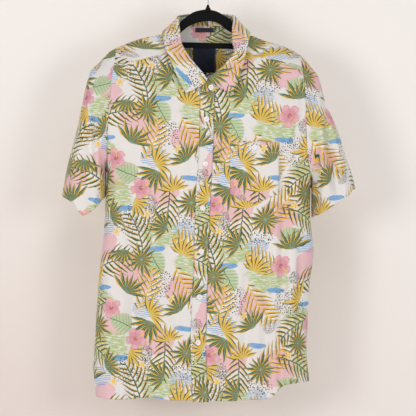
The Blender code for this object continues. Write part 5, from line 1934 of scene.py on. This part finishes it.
class SHIRT_OT_collar(MakeStep, bpy.types.Operator):
    """Make the collar's stand and its turned-down leaf"""

    bl_idname = "shirt.make_collar"
    bl_label = "Make Collar"
    makers = ((make_stand,), (make_leaf,))


class SHIRT_OT_labels(MakeStep, bpy.types.Operator):
    """Make the blank woven labels inside the neck"""

    bl_idname = "shirt.make_labels"
    bl_label = "Make Labels"
    makers = ((make_labels,),)


class SHIRT_OT_buttons(MakeStep, bpy.types.Operator):
    """Make the buttons and their buttonholes"""

    bl_idname = "shirt.make_buttons"
    bl_label = "Make Buttons"
    makers = ((make_buttons,),)


class SHIRT_OT_sewing(MakeStep, bpy.types.Operator):
    """Lay the stitches of every seam made so far"""

    bl_idname = "shirt.make_sewing"
    bl_label = "Make Sewing"
    makers = ((make_sewing,),)


class SHIRT_OT_hanger(MakeStep, bpy.types.Operator):
    """Make the flocked hanger and its wire hook"""

    bl_idname = "shirt.make_hanger"
    bl_label = "Make Hanger"
    makers = ((make_hanger,), (make_hook,))


class SHIRT_OT_stage(MakeStep, bpy.types.Operator):
    """Make the wall, the floor, the lights and the camera"""

    bl_idname = "shirt.make_stage"
    bl_label = "Make Stage"
    makers = ((make_stage,),)


OPERATORS = (
    SHIRT_OT_hanger, SHIRT_OT_body, SHIRT_OT_placket_and_pocket, SHIRT_OT_sleeves, SHIRT_OT_collar,
    SHIRT_OT_labels, SHIRT_OT_buttons, SHIRT_OT_sewing, SHIRT_OT_stage,
)


class SHIRT_PT_sidebar(bpy.types.Panel):
    """The shirt's operators, in the order in which they run, with its sizes and colours"""

    bl_idname = "SHIRT_PT_sidebar"
    bl_label = "Printed Camp Shirt"
    bl_space_type = "VIEW_3D"
    bl_region_type = "UI"
    bl_category = "Shirt"

    def draw(self, context):
        for operator in OPERATORS:
            self.layout.operator(operator.bl_idname)
        for group in (context.scene.shirt_sizes, context.scene.shirt_colours, context.scene.shirt_stage):
            box = self.layout.box()
            for name in group.__annotations__:
                box.prop(group, name)


CLASSES = (ShirtSizes, ShirtColours, ShirtStage, *OPERATORS, SHIRT_PT_sidebar)


def register():
    for entry in CLASSES:
        bpy.utils.register_class(entry)
    bpy.types.Scene.shirt_sizes = PointerProperty(type=ShirtSizes)
    bpy.types.Scene.shirt_colours = PointerProperty(type=ShirtColours)
    bpy.types.Scene.shirt_stage = PointerProperty(type=ShirtStage)


def unregister():
    del bpy.types.Scene.shirt_stage
    del bpy.types.Scene.shirt_colours
    del bpy.types.Scene.shirt_sizes
    for entry in reversed(CLASSES):
        bpy.utils.unregister_class(entry)


def main():
    register()
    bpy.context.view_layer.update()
    for operator in OPERATORS:
        module, name = operator.bl_idname.split(".")
        getattr(getattr(bpy.ops, module), name)()


if __name__ == "__main__":
    main()
